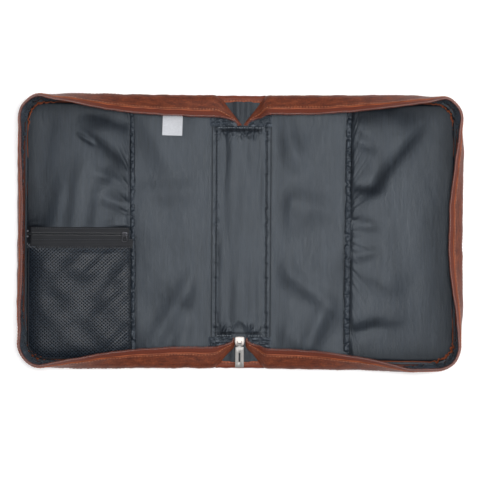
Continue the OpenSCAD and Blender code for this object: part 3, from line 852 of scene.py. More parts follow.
def build_walls(name, sign, piping):
    """Leather, stitches, zip tape and coil of one wall, and the lining behind them."""
    grid, s, inward, _, tip = wall_surface(name, sign, WALL_V)
    into = normals(grid, inward_of(inward, WALL_V, tip))
    uv = pair_up(s, WALL_V)
    fold = (sign, WALL_BEND)

    # leather, with a rounded turned edge
    cols = slice(0, EDGE_COL + 1)
    outer = grid[:, cols].copy()
    inner = outer + into[:, cols] * 1.15
    edge = (WALL_V[cols] - (LEATHER_W - 1.4)) / 1.4
    round_off = np.clip(edge, 0, 1) ** 3 * 0.45
    outer = outer + into[:, cols] * round_off[None, :, None]
    inner = inner - into[:, cols] * round_off[None, :, None] * 0.6
    # lighter along the turned edge: wear, and a painted highlight standing in for the light line on
    # the fold
    worn = np.clip(edge, 0, 1)[None] * (0.75 + 0.25 * waves(s, 0, 5, 30, 8)[:, None]).clip(0.2, 1)
    m = Mesh()
    m.shell(outer, inner, uv[:, cols], worn * 0.8)
    strip = placed(m, f"{name}_wall_leather_strip", LEATHER, fold, "leather",
                   with_ends(name, "wall_leather", "wall"))

    # stitches where the wall is sewn to the cover, and along its turned edge
    m = Mesh()
    for v, pitch in ((6.6, 3.4), (20.9, 2.9)):
        col = np.interp(v, WALL_V, np.arange(len(WALL_V)))
        rows = np.nonzero(tip < (0.05 if v < 10 else 0.8))[0]
        stitch(m, grid_line(grid, col, rows), -grid_line(into, col, rows),
               pitch, pitch * 0.66, 0.62, 0.5, 0.08)
    thread = placed(m, f"{name}_wall_stitches", THREAD_BROWN, fold)

    # zip tape, coming out from behind the leather
    cols = slice(EDGE_COL - 3, len(WALL_V) - 1)
    behind = 0.62 * smooth((LEATHER_W + 1.2 - WALL_V[cols]) / 3.2) + 0.5
    outer = grid[:, cols] + into[:, cols] * behind[None, :, None]
    inner = outer + into[:, cols] * 0.5
    m = Mesh()
    m.shell(outer, inner, uv[:, cols], 0.25)
    tape = placed(m, f"{name}_zip_tape_strip", TAPE, fold, "zip_tape",
                  with_ends(name, "zip_tape", "tape"))

    # coil: one tooth every 1.5 mm along the free edge, on a core cord
    col = len(WALL_V) - 2
    line = grid_line(grid, col) + 0.55 * grid_line(into, col)
    edge_way = grid[:, -1] - grid[:, -3]
    edge_way /= np.linalg.norm(edge_way, axis=1)[:, None]
    length = path_length(line)
    count = int(length[-1] / 1.5)
    want = (np.arange(count) + 0.5) * length[-1] / count
    at = at_lengths(want, length, line)
    way = at_lengths(want, length, edge_way)
    up = at_lengths(want, length, into[:, -2])
    way /= np.linalg.norm(way, axis=1)[:, None]
    up -= way * np.sum(up * way, axis=1)[:, None]
    up /= np.linalg.norm(up, axis=1)[:, None]
    teeth = np.stack([way, np.cross(up, way), up], axis=2)
    m = Mesh()
    m.stamp(bead(2.7, 0.95, 1.3), at + way * 0.25, teeth)
    m.tube(line, 0.5, 6)
    coil = placed(m, f"{name}_zip_coil_teeth", COIL, fold, "zip_coil",
                  with_ends(name, "zip_coil", "coil"))

    # wrinkled lining behind the leather
    v = np.linspace(1.0, 22.4, 34)
    fine, s_f, inward_f, lean_f, tip_f = wall_surface(name, sign, v)
    keep = tip_f < 0.75
    into_f = normals(fine, inward_of(inward_f, v, tip_f))
    loose = np.clip((62 - lean_f) / 60, 0.12, 1) * (1 - smooth(tip_f / 0.3))
    middle = np.sin(PI * np.clip(v / 22.4, 0, 1))[None] ** 0.6
    seed = 31 if sign < 0 else 47
    rumple = np.abs(waves(s_f[:, None], v[None], seed, 17, 6, (1, 1.9), 12))
    rumple = rumple + 0.5 * np.abs(waves(s_f[:, None], v[None], seed + 1, 8, 3.5, (1, 1.5), 12))
    depth = 1.75 + (2.1 * loose[:, None] * rumple.clip(0, 2.2)) * middle
    depth = depth + 0.6 * loose[:, None] * middle
    outer = fine + into_f * depth[..., None]
    inner = outer - into_f * 0.3
    m = Mesh()
    m.shell(outer[keep], inner[keep], pair_up(s_f, v)[keep])
    lining = placed(m, f"{name}_wall_lining_cloth", NYLON_WALL, fold, "nylon_dark",
                    [f"{name}_wall_lining"])


# ------------------------------------------------------------------ covers and spine


def inset_of(x, y):
    """Distance of a point inside the outline of the open case."""
    over_x, over_y = np.abs(x) - STRAIGHT_X, np.abs(y) - STRAIGHT_Y
    corner = CORNER_R - np.hypot(np.maximum(over_x, 0), np.maximum(over_y, 0))
    return np.where((over_x > 0) & (over_y > 0), corner,
                    np.minimum(HALF_W - np.abs(x), HALF_H - np.abs(y)))


def beside(x, y, start, end, soft):
    """Distance of points from a line, and a share that fades to 0 past the line's ends."""
    ax, ay = start
    dx, dy = end[0] - ax, end[1] - ay
    length = math.hypot(dx, dy)
    along = ((x - ax) * dx + (y - ay) * dy) / length
    across = ((y - ay) * dx - (x - ax) * dy) / length
    soft = soft * length
    return across, smooth(along / soft + 0.5) * smooth((length - along) / soft + 0.5)


def ridge(x, y, start, end, width, height):
    """Height of a soft fold along a line from start to end, fading at both ends."""
    across, fade = beside(x, y, start, end, 0.6)
    return height * fade * hump(across, 0, width)


def shelf(x, y, start, end, width, height):
    """A step up to the left of a line from start to end, sinking back over about 34 mm."""
    across, fade = beside(x, y, start, end, 0.5)
    step = height * fade * 0.5 * (1 + np.tanh(across / width))
    return step * np.exp(-np.clip(across, 0, None) / 34)


def layer_grid(sign, inset, rims, step=3.0):
    """Grid over one cover and its half of the spine, finer near the fold and the rim."""
    x = np.concatenate([np.linspace(0, 20, 8), np.linspace(20, 36, 17)[1:],
                        columns(36, inset, step)[1:]])
    half = half_height(x, inset)
    rim = half[:, None] - np.array(rims)
    core = np.linspace(-1, 1, 70)[1:-1] * (half - rims[-1])[:, None]
    return grid_of(sign * x[:, None], np.concatenate([-rim, core, rim[:, ::-1]], axis=1))


def cover_nodes(name, sign, part):
    """CAD nodes of a layer of one cover; the left piece also stands for the spine's layer."""
    return [f"{name}_cover_{part}"] + ([f"spine_{part}"] if sign < 0 else [])


def build_cover_leather(name, sign):
    grid = layer_grid(sign, 0, [0, 0.5, 1, 1.6, 2.1, 2.6, 3.1, 3.6, 4.4])
    x, y = grid[..., 0], grid[..., 1]
    edge = inset_of(x, y)
    groove = 0.38 * hump(edge, 2.6, 0.8)
    crease = 0.4 * hump(np.abs(x), FOLD_X, 1.3)
    under = 0.02 + np.maximum(groove, crease) + 0.5 * np.clip(1 - edge / 0.9, 0, 1) ** 2
    upper = LEATHER_T - 0.02 - 0.25 * np.clip(1 - edge / 0.6, 0, 1) ** 2
    m = Mesh()
    m.shell(at_height(grid, under), at_height(grid, upper),
            painted_light_and_wear=np.clip(1 - edge / 1.2, 0, 1) * 0.6)
    piece = placed(m, f"{name}_leather_back", LEATHER_BASE, (sign, BEND), "leather",
                   cover_nodes(name, sign, "leather"))

    base, inward, _, tip, _ = wall_stations(name, sign)
    line = base[tip == 0] + inward[tip == 0] * 2.6
    line = np.vstack([[0, line[0, 1]], line, [0, line[-1, 1]]])
    line = even(line, 600)
    m = Mesh()
    points = np.column_stack([line, np.full(len(line), 0.28)])
    stitch(m, points, (0, 0, -1), 3.2, 2.3, 0.55, 0.4, 0.0)
    thread = placed(m, f"{name}_back_stitches", THREAD_BROWN, (sign, BEND))


LEFT_FOLDS = [((-40, 122), (-20, 70), 9, 0.9), ((-86, -112), (-44, -44), 10, 1.2),
              ((-98, 36), (-34, 40), 11, 0.7), ((-60, -120), (-50, -84), 8, 0.8),
              ((-92, 120), (-70, 60), 12, 0.7)]
RIGHT_FOLDS = [((30, 118), (60, 60), 12, 0.9), ((34, -30), (98, -78), 9, 0.9),
               ((60, -118), (84, -70), 9, 1.0), ((38, 30), (96, 18), 12, 0.6),
               ((34, -122), (44, -92), 7, 0.9)]


def build_cover_lining(name, sign, folds):
    grid = layer_grid(sign, LINING_INSET, [0, 0.6, 1.4, 2.6], 2.4)
    x, y = grid[..., 0], grid[..., 1]
    on_cover = smooth((np.abs(x) - FOLD_X - 4) / 18)
    rise = 0.4 * (waves(x, y, 61 + sign, 90, 40) + 1.2).clip(0, 3)
    for fold in folds:
        rise = rise + 1.7 * ridge(x, y, *fold)
    near_wall = np.clip(1 - inset_of(x, y) / 26, 0, 1)
    rise = rise + near_wall * 0.5 * np.abs(waves(x, y, 67 + sign, 16, 8, (1, 2.4)))
    rise = rise * on_cover * smooth((inset_of(x, y) - LINING_INSET) / 4)
    hidden = np.abs(x) > HEM_LINE[name][0] + 4
    rise = np.where(hidden, 0.2 * rise, rise)
    # painted shadow: darker beside the spine strip's edge and under the open edge of the hem
    strip_shadow = 0.8 * hump(np.abs(x) - STRIP_SIDE[name][0], 0.5, 0.6)
    hem_x = HEM_LINE[name][0] + HEM_SLANT[name] * y
    hem_shadow = 0.5 * hump(np.abs(x) - hem_x, -0.1, 0.6)
    m = Mesh()
    m.shell(at_height(grid, LINING_Z + 0.48 + rise), at_height(grid, LINING_Z + 0.02 + rise),
            painted_light_and_wear=np.maximum(strip_shadow, hem_shadow))
    piece = placed(m, f"{name}_lining_cloth", NYLON, (sign, BEND), "nylon",
                   cover_nodes(name, sign, "lining"))


STRIP_END = 101.0


def strip_height(x, y, seam_x):
    """Top of the sewn spine strip: folded side edges, gathered ends, soft lengthwise folds."""
    ax, ay = np.abs(x), np.abs(y)
    side = 0.34 * smooth((ax - seam_x + 1.3) / 0.8) - 0.24 * np.exp(-((ax - seam_x) / 0.45) ** 2)
    middle = smooth((23 - ax) / 8)
    z = INSIDE_Z + 0.5 + side
    z = z + middle * 0.32 * (waves(x, y, 71, 26, 13, (1, 5)) + 1.3).clip(0, 3)
    z = z + ridge(x, y, (-2, 90), (4, -40), 6.5, 0.4) + ridge(x, y, (-11, 60), (-8, -40), 5, 0.1)
    z = z + ridge(x, y, (14, 60), (16, 10), 5, 0.3)
    away = STRIP_END - ay
    pucker = hump(away, 7, 5) * middle
    z = z + pucker * 0.7 * np.abs(waves(x, y, 73, 9, 4, (1, 3)))
    z = z - 0.55 * hump(away, 4.2, 1.1) * middle
    z = z + hump(away, 1.6, 1.5) * (0.55 + 0.4 * waves(x, 0 * y, 75, 6, 2.5)) * middle
    z = z + np.exp(-((ax - seam_x) / 2.0) ** 2) * 0.22 * waves(0 * x, y, 79, 7, 3)
    from_slider = np.hypot(x / 6.0, (y + STRIP_END) / 10.5)
    return np.minimum(z, INSIDE_Z + 0.5 + 2.4 * smooth((from_slider - 0.8) / 1.9))


def build_strip(name, sign):
    edge_x, seam_x = STRIP_SIDE[name]
    x = sign * np.concatenate([np.linspace(0, 20, 34), np.linspace(20, edge_x, 26)[1:]])
    ends = np.linspace(0, 14, 26)
    y = np.concatenate([-STRIP_END + ends, np.linspace(-STRIP_END + 14, STRIP_END - 14, 110)[1:-1],
                        STRIP_END - ends[::-1]])
    grid = grid_of(x[:, None], y)
    end_wave = 0.4 * waves(x, 0 * x, 77, 8, 3)[:, None] * hump(STRIP_END - np.abs(y), 0, 2)
    grid[..., 1] += end_wave * smooth((22 - np.abs(x)) / 4)[:, None]
    outer, inner = grid.copy(), grid.copy()
    outer[..., 2] = strip_height(grid[..., 0], grid[..., 1], seam_x)
    inner[..., 2] = np.maximum(outer[..., 2] - 0.9, INSIDE_Z + 0.06)
    # painted shade: darker along the seam, at the folded side edge and in the crease near each end
    seam = 0.3 * np.exp(-((np.abs(grid[..., 0]) - seam_x) / 0.5) ** 2)
    seam = np.maximum(seam, 0.6 * np.clip((np.abs(grid[..., 0]) - edge_x + 0.5) / 0.5, 0, 1))
    end_crease_shade = 0.75 * np.exp(-((STRIP_END - np.abs(grid[..., 1]) - 4.2) / 1.0) ** 2)
    seam = np.maximum(seam, end_crease_shade * smooth((23 - np.abs(grid[..., 0])) / 6))
    m = Mesh()
    m.shell(outer, inner, painted_light_and_wear=seam)
    piece = placed(m, f"{name}_spine_strip_cloth", NYLON, (sign, BEND), "nylon",
                   ["spine_strip"] if sign < 0 else [])

    def on_strip(x, y):
        x, y = np.broadcast_arrays(x, y)
        return grid_of(x, y, strip_height(x, y, seam_x))

    m = Mesh()
    line = on_strip(sign * seam_x, np.linspace(-STRIP_END + 1, STRIP_END - 1, 500))
    stitch(m, line, UP, 2.7, 1.7, 0.5, 0.42, 0.02, 0.06)
    thread = placed(m, f"{name}_strip_stitches", THREAD_DARK, (sign, BEND))
    m = Mesh()
    for end in (-1, 1):
        across = np.linspace(0 if end > 0 else 7.5, 22, 120) * sign
        line = on_strip(across, end * (STRIP_END - 1.7))
        stitch(m, line, UP, 2.4, 1.6, 0.5, 0.4, 0.05, 0.1, 3)
    bright = placed(m, f"{name}_strip_end_stitches", THREAD_LIGHT, "spine")


def build_tuck(name, sign, end):
    """Crumpled lining where a wall's lining is tucked in beside the gusset."""
    x = np.linspace(2.5, 30, 60)
    y = np.linspace(100.4, 116, 44)
    grid = grid_of(sign * x[:, None], end * y)
    gx, gy = grid[..., 0], grid[..., 1]
    seed = 83 + sign + 3 * end
    rumple = 0.35 * np.abs(waves(gx, gy, seed, 8, 3, (1, 0.8)))
    rumple = rumple + 0.5 * np.abs(waves(gx, gy, seed + 9, 12, 6, (1.6, 0.7)))
    calm = smooth((x - 5) / 6)[:, None] * smooth((30 - x) / 3)[:, None] * smooth((116 - y) / 5)
    top = INSIDE_Z + 0.34 + (0.12 + rumple.clip(0, 1.2)) * calm
    m = Mesh()
    # painted shade: darker in the low hollows of the crumpled lining
    m.shell(at_height(grid, top), at_height(grid, np.maximum(top - 0.28, INSIDE_Z + 0.02)),
            painted_light_and_wear=0.3 * (1.3 - rumple).clip(0, 1) * calm)
    piece = placed(m, f"{PLACE[end]}_{name}_lining_tuck", NYLON_WALL, (sign, BEND), "nylon_dark")


def build_gusset(end):
    """The cloth triangle at one end of the spine, and the turned leather edge beyond it."""
    place = PLACE[end]
    y = np.linspace(101.2, 124.2, 40)
    t = np.linspace(-1, 1, 41)
    half = 1.2 + (y - 101.2) / 23 * 19.6
    grid = grid_of(half[:, None] * t + APEX_X[end], end * y[:, None])
    soft = np.cos(PI * t / 2) ** 0.5 * smooth((y[:, None] - 103) / 8)
    pleat = 0.9 * np.exp(-((grid[..., 0] - APEX_X[end] + 5) / 4) ** 2)
    pleat = pleat + 0.7 * np.exp(-((grid[..., 0] - APEX_X[end] - 5.5) / 3.5) ** 2)
    top = INSIDE_Z + 0.4 + soft * (pleat + 0.12)
    if end < 0:  # pressed flat below the main slider
        top = np.minimum(top, INSIDE_Z + 0.9)
    m = Mesh()
    m.shell(at_height(grid, top), at_height(grid, top - 0.3))
    piece = placed(m, f"{place}_gusset_cloth", NYLON_DARK, "spine", "nylon_dark",
                   [f"{place}_gusset_liner"])

    # leather of the spine's end, turned up and over
    profile = curve([(0.2, 0.75), (1.1, 1.6), (1.6, 3.1), (1.4, 4.7), (0.3, 5.75), (-1.6, 6.05),
                     (-3.4, 5.95), (-4.6, 5.62), (-5.0, 5.35)], 26)
    x = np.linspace(-23.2, 23.2, 66)
    wobble = 0.12 * waves(x, 0 * x, 91 + end, 14, 6)[:, None]
    grid = grid_of(x[:, None] + 0.4, end * (HALF_H + profile[:, 0] + wobble),
                   profile[:, 1] + 0.6 * wobble)
    into = normals(grid, np.array([0, -end, -0.8]))
    m = Mesh()
    s = path_length(profile)
    # lighter along the turned edge: wear, and a painted highlight on the fold
    worn = hump(s - s[-1], -0.4, 0.5)[None] * np.ones((len(x), 1)) * 0.7
    m.shell(grid, grid + into * 0.42, pair_up(x, s), worn)
    piece = placed(m, f"{place}_binding_leather", EDGE_LEATHER, "spine", "edge_leather",
                   [f"{place}_binding"])
    m = Mesh()
    line = np.column_stack([x + 0.4, np.full(66, end * (HALF_H - 3.6)), np.full(66, 5.95)])
    line[:, 1] += end * wobble[:, 0]
    line[:, 2] += 0.6 * wobble[:, 0]
    stitch(m, line, UP, 2.9, 1.9, 0.5, 0.4, 0.06)
    thread = placed(m, f"{place}_binding_stitches", THREAD_BROWN, "spine")


def foam_pad(name, grid, edge, bottom, top):
    """Pad between two heights whose rims round off where the edge distance is small."""
    soft = 0.35 * np.clip(1 - edge / 2.0, 0, 1) ** 2
    m = Mesh()
    m.shell(at_height(grid, top - soft), at_height(grid, bottom + soft))
    on_spine = name == "spine"
    piece = placed(m, f"{name}_foam_pad", FOAM, "spine" if on_spine else f"{name}_cover", "foam",
                   ["spine_foam" if on_spine else f"{name}_cover_foam"])


def build_foam():
    """Foam pads between the leather and the boards, with soft edges."""
    bottom, top = low("left_cover_foam")[2], high("left_cover_foam")[2]
    x_in = abs(high("left_cover_foam")[0])
    for name, sign in SIDES:
        grid = cover_grid(sign, x_in, LINING_INSET, 5.0, 60)
        x, y = grid[..., 0], grid[..., 1]
        foam_pad(name, grid, np.minimum(inset_of(x, y) - LINING_INSET, np.abs(x) - x_in),
                 bottom, top)
    lo, hi = low("spine_foam"), high("spine_foam")
    grid = grid_of(np.linspace(lo[0], hi[0], 14)[:, None], np.linspace(lo[1], hi[1], 60))
    edge = np.minimum(hi[0] - np.abs(grid[..., 0]), hi[1] - np.abs(grid[..., 1]))
    foam_pad("spine", grid, edge, lo[2], hi[2])


def build_piping(name, sign):
    """Bound seam inside the foot of the walls: narrow on the straights, bunched at the corners."""
    base, inward, _, tip, _ = wall_stations(name, sign)
    keep = (tip == 0) & (np.abs(base[:, 0]) > FOLD_X + 3)
    base, inward = base[keep], inward[keep]
    s = path_length(base)
    fine = np.linspace(0, s[-1], 1100)
    base, inward = at_lengths(fine, s, base), at_lengths(fine, s, inward)
    over_x = np.abs(base[:, 0]) - STRAIGHT_X + 16
    over_y = np.abs(base[:, 1]) - STRAIGHT_Y + 16
    corner = smooth(np.minimum(over_x, over_y) / 24)
    seed = 101 + sign
    bunch = corner * waves(fine, 0, seed, 9, 3.5)
    n = 5.6 + 0.35 * waves(fine, 0, seed + 1, 60, 25) + 0.9 * corner + 0.6 * bunch
    z = 6.35 + 0.5 * corner + 0.35 * bunch + 0.2 * waves(fine, 0, seed + 2, 50, 20)
    middle = 30 if sign < 0 else 0
    under = smooth((STRAIGHT_Y - 30 - np.abs(base[:, 1] + middle)) / 24)
    under = under * (np.abs(base[:, 0]) > STRAIGHT_X)
    n = n + 0.8 * under  # on the sides it is tucked under the sleeve's seam
    z = z - 1.5 * under
    thin = 0.42 + 0.12 * waves(fine, 0, seed + 3, 60, 20)
    radius = thin + corner * (0.42 + 0.3 * waves(fine, 0, seed + 4, 8, 3.2).clip(-1.2, 1.8))
    m = Mesh()
    m.tube(np.column_stack([base + inward * n[:, None], z]), radius.clip(0.3, 1.4), flat=0.8)
    # the standing seam under it
    foot = np.zeros((len(fine), 2, 3))
    foot[:, 0, :2] = base + inward * (n - 0.1)[:, None]
    foot[:, 0, 2] = z
    foot[:, 1, :2] = base + inward * (n - 0.5)[:, None]
    foot[:, 1, 2] = INSIDE_Z + 0.1
    rows = finer(foot, len(fine), 2)[::3]
    shares = np.linspace(0.1, 1, 6)
    seam = np.stack([rows[:, 0] * (1 - t) + rows[:, 1] * t for t in shares], axis=1)
    side = normals(seam, np.column_stack([inward[::3], np.full(len(rows), 0.4)])[:, None])
    m.shell(seam + side * 0.3, seam - side * 0.3)
    return placed(m, f"{name}_seam_piping", PIPING, (sign, BEND), "seam_binding",
                  [f"{name}_seam_binding"])


# ------------------------------------------------------------------ sleeves

SCALE = 0.01  # simulation units for each millimetre


DRAPE_FRAMES = 24
DRAPE_STIFF = 6.0
DRAPE_BEND = 4.0
DRAPE_GRAVITY = 0.08


def drape(start, pinned, grow, floor):
    """Lets a grid of points settle as cloth. `grow` is each point's share of extra length.

    Works at ten times life size, where the solver is steady, and leaves nothing behind.
    """
    scene = bpy.context.scene
    rows, cols = start.shape[:2]
    idx = np.arange(rows * cols).reshape(rows, cols)
    faces = np.column_stack([idx[:-1, :-1].ravel(), idx[1:, :-1].ravel(),
                             idx[1:, 1:].ravel(), idx[:-1, 1:].ravel()])
    mesh = bpy.data.meshes.new("drape")
    mesh.from_pydata((start.reshape(-1, 3) * SCALE).tolist(), [], faces.tolist())
    obj = bpy.data.objects.new("drape", mesh)
    scene.collection.objects.link(obj)
    pin = obj.vertex_groups.new(name="pin")
    pin.add([int(i) for i in idx[pinned]], 1.0, "REPLACE")
    more = obj.vertex_groups.new(name="grow")
    most = float(grow.max())
    for share in np.unique(np.round(grow / most, 1)):
        chosen = idx[np.round(grow / most, 1) == share]
        more.add([int(i) for i in chosen], float(share), "REPLACE")
    table = bpy.data.meshes.new("drape_table")
    size, centre = 3.0, start.reshape(-1, 3).mean(0) * SCALE
    corners = [(centre[0] + a * size, centre[1] + b * size, floor * SCALE)
               for a, b in ((-1, -1), (1, -1), (1, 1), (-1, 1))]
    table.from_pydata(corners, [], [(0, 1, 2, 3)])
    under = bpy.data.objects.new("drape_table", table)
    scene.collection.objects.link(under)
    under.modifiers.new("hit", "COLLISION")
    under.collision.thickness_outer = 0.004
    under.collision.cloth_friction = 4
    cloth = obj.modifiers.new("cloth", "CLOTH")
    own = cloth.settings
    own.quality = 6
    own.mass = 0.12
    own.effector_weights.gravity = DRAPE_GRAVITY
    own.tension_stiffness = own.compression_stiffness = DRAPE_STIFF
    own.shear_stiffness = DRAPE_STIFF * 0.4
    own.bending_stiffness = DRAPE_BEND
    own.tension_damping = own.compression_damping = 8
    own.air_damping = 2
    own.vertex_group_mass = "pin"
    own.vertex_group_shrink = "grow"
    own.shrink_min = 0.0
    own.shrink_max = -most
    cloth.collision_settings.distance_min = 0.006
    cloth.point_cache.frame_start = 1
    cloth.point_cache.frame_end = DRAPE_FRAMES
    for f in range(1, DRAPE_FRAMES + 1):
        scene.frame_set(f)
    done = obj.evaluated_get(bpy.context.evaluated_depsgraph_get()).to_mesh()
    co = np.zeros(rows * cols * 3, np.float32)
    done.vertices.foreach_get("co", co)
    bpy.data.objects.remove(obj)
    bpy.data.objects.remove(under)
    scene.frame_set(1)
    return co.reshape(rows, cols, 3).astype(float) / SCALE


def gather(y, seed, apart=6.5):
    """Irregular gathers along Y: 0 on the crests and down to -1 in the nips between them."""
    r = np.random.default_rng(seed)
    nips = np.arange(-130, 130, apart)
    nips = nips + r.uniform(-0.33, 0.33, len(nips)) * apart
    depth = r.uniform(0.25, 1.0, len(nips))
    wide = r.uniform(0.12, 0.28, len(nips)) * apart
    total = np.zeros_like(y)
    for at, deep, width in zip(nips, depth, wide):
        total = np.minimum(total, -deep * np.exp(-((y - at) / width) ** 2))
    return total


HEM_TOP = HEM_Z + 1.5


def crossing(u, y, seed):
    """Two sets of slanting nips that cross in a hem and leave diamonds between them."""
    return gather(y + 3.4 * (u - 0.5), seed, GATHER) + gather(y - 3.6 * (u - 0.5), seed + 1, 8.5)


def hem_height(u, y, seed):
    """Top of a hem at u (0 on the open edge, 1 on the sleeve) and Y: puffed between two seams."""
    puff = np.clip(np.sin(PI * np.clip((u - 0.12) / 0.76, 0, 1)), 0, 1) ** 0.7
    z = HEM_TOP - 0.55 + 0.75 * puff
    z = z + 0.62 * crossing(u, y, seed) * (0.35 + 0.65 * puff)
    for seam in HEM_SEAMS:
        z = z - 0.30 * hump(u, seam, 0.05)
    z = z - 0.7 * np.clip(1 - u / 0.06, 0, 1) ** 2
    return z + 0.15 * waves(u * 6, y, seed + 4, 14, 5)


def slanted(points, name, sign):
    """Leans points near a sleeve's hem along with it; far from the hem nothing moves."""
    away = np.abs(np.abs(points[..., 0]) - HEM_LINE[name][0])
    points[..., 0] += sign * HEM_SLANT[name] * points[..., 1] * np.exp(-away / 35)
    return points


def build_hem(name, sign):
    """Gathered elastic hem of one sleeve, with its stitches; gives both pieces."""
    seed = 121 + sign
    edge, hem_w = HEM_LINE[name]
    y = np.linspace(-1, 1, 620) * 121.5
    u = np.linspace(0, 1, 26)
    wander = 0.2 * waves(y, 0 * y, seed + 7, 40, 14) + 0.2 * gather(y, seed)
    drop = 1.9 * smooth((np.abs(y) - 113) / 9)[:, None]
    grid = grid_of(sign * (edge + wander[:, None] * (1 - u) + (hem_w + 0.4) * u), y[:, None],
                   hem_height(u[None], y[:, None], seed) - drop)
    under = at_height(grid, np.minimum(grid[..., 2] - 0.5, HEM_Z + 0.1 - drop))
    grid, under = slanted(grid, name, sign), slanted(under, name, sign)
    # painted shade: darker along both seams and in the nips of the gathers
    cross = crossing(u, y[:, None], seed)
    seam_shade = np.maximum(*[hump(u, seam, 0.06) for seam in HEM_SEAMS])[None]
    m = Mesh()
    m.shell(grid, under, painted_light_and_wear=np.clip(0.26 * seam_shade - 0.2 * cross, 0, 1))
    piece = placed(m, f"{name}_hem_gathered", HEM, f"{name}_cover", "nylon_dark",
                   [f"{name}_sleeve_hem"])
    m = Mesh()
    for s, seam in enumerate(HEM_SEAMS, 1):
        line = grid_line(grid, seam * (len(u) - 1))
        stitch(m, line, UP, 2.4, 1.5, 0.62, 0.42, 0.05, 0.12, s)
    return piece, placed(m, f"{name}_hem_stitches", THREAD_DARK, f"{name}_cover")


SLEEVE_STEP = 1.7  # spacing of the points that are simulated


def risen(edge):
    """Share of its full height that a sleeve has at a distance from its seam."""
    return 1 - np.exp(-((np.clip(edge, 0, None) / 15) ** 1.4))


def sleeve_start(sign, x_in, low_y):
    """Flat start of a sleeve: a grid [columns, rows] from its hem out to the seam."""
    x = columns(x_in, SLEEVE_INSET, SLEEVE_STEP)
    half = half_height(x, SLEEVE_INSET)
    rows = int((HALF_H * 2 if low_y is None else HALF_H - low_y) / SLEEVE_STEP)
    bottom = -half if low_y is None else np.full(len(x), low_y)
    grid = grid_of(sign * x[:, None],
                   bottom[:, None] + (half - bottom)[:, None] * np.linspace(0, 1, rows))
    edge = inset_of(grid[..., 0], grid[..., 1]) - SLEEVE_INSET
    hem = np.abs(grid[..., 0]) - x_in
    z = 5.9 + 4.2 * risen(edge)
    z = z + (HEM_Z + 0.8 - z) * np.exp(-hem / 14) * smooth(edge / 10)
    return at_height(grid, z), edge, hem


def broad_folds(x, y, folds, shelves):
    """Height of a sleeve's own large folds, fading out at the seam round the cover."""
    z = 0 * x
    for fold in folds:
        z = z + ridge(x, y, *fold)
    for fold in shelves:
        z = z + shelf(x, y, *fold)
    return z * risen(inset_of(x, y) - SLEEVE_INSET)


# Large folds of the sleeves: start, end, width and height of each, in plan. A shelf steps up to
# the left of its line, and a ridge stands on its line.
RIGHT_SLEEVE_FOLDS = [((104, 94), (126, 80), 7, -1.0), ((100, 10), (130, 6), 6, -0.9),
                      ((100, -24), (132, -18), 6, -0.8), ((104, -98), (136, -88), 7, -1.2),
                      ((168, 40), (176, -80), 18, 1.2), ((136, 20), (142, -70), 15, 0.9)]
RIGHT_SLEEVE_SHELVES = [((98, 43), (132, 39), 5.5, 2.6), ((116, 30), (178, 108), 8, 4.2),
                        ((104, -92), (158, -84), 8, 1.8), ((108, -36), (150, -58), 9, 1.6),
                        ((150, 122), (104, 104), 8, 2.4)]
LEFT_SLEEVE_FOLDS = [((-160, -4), (-153, 60), 9, 1.3), ((-178, -4), (-170, 50), 8, 1.0),
                     ((-140, -4), (-134, 40), 7, 0.8), ((-100, 22), (-134, 32), 6, -0.8),
                     ((-154, 92), (-140, 83), 2.4, 0.7), ((-100, 40), (-138, 56), 6, -0.9)]
LEFT_SLEEVE_SHELVES = [((-148, 98), (-100, 56), 7, 3.8), ((-156, 116), (-100, 96), 7, -3.0),
                       ((-190, 40), (-178, 112), 9, -2.0), ((-128, 48), (-102, 30), 7, 1.6)]


def softened(grid, passes):
    """Evens out the smallest creases of a grid; its rim stays where it is."""
    out = grid.copy()
    for _ in range(passes):
        around = out[:-2, 1:-1] + out[2:, 1:-1] + out[1:-1, :-2] + out[1:-1, 2:]
        out[1:-1, 1:-1] = (out[1:-1, 1:-1] * 4 + around) / 8
    return out


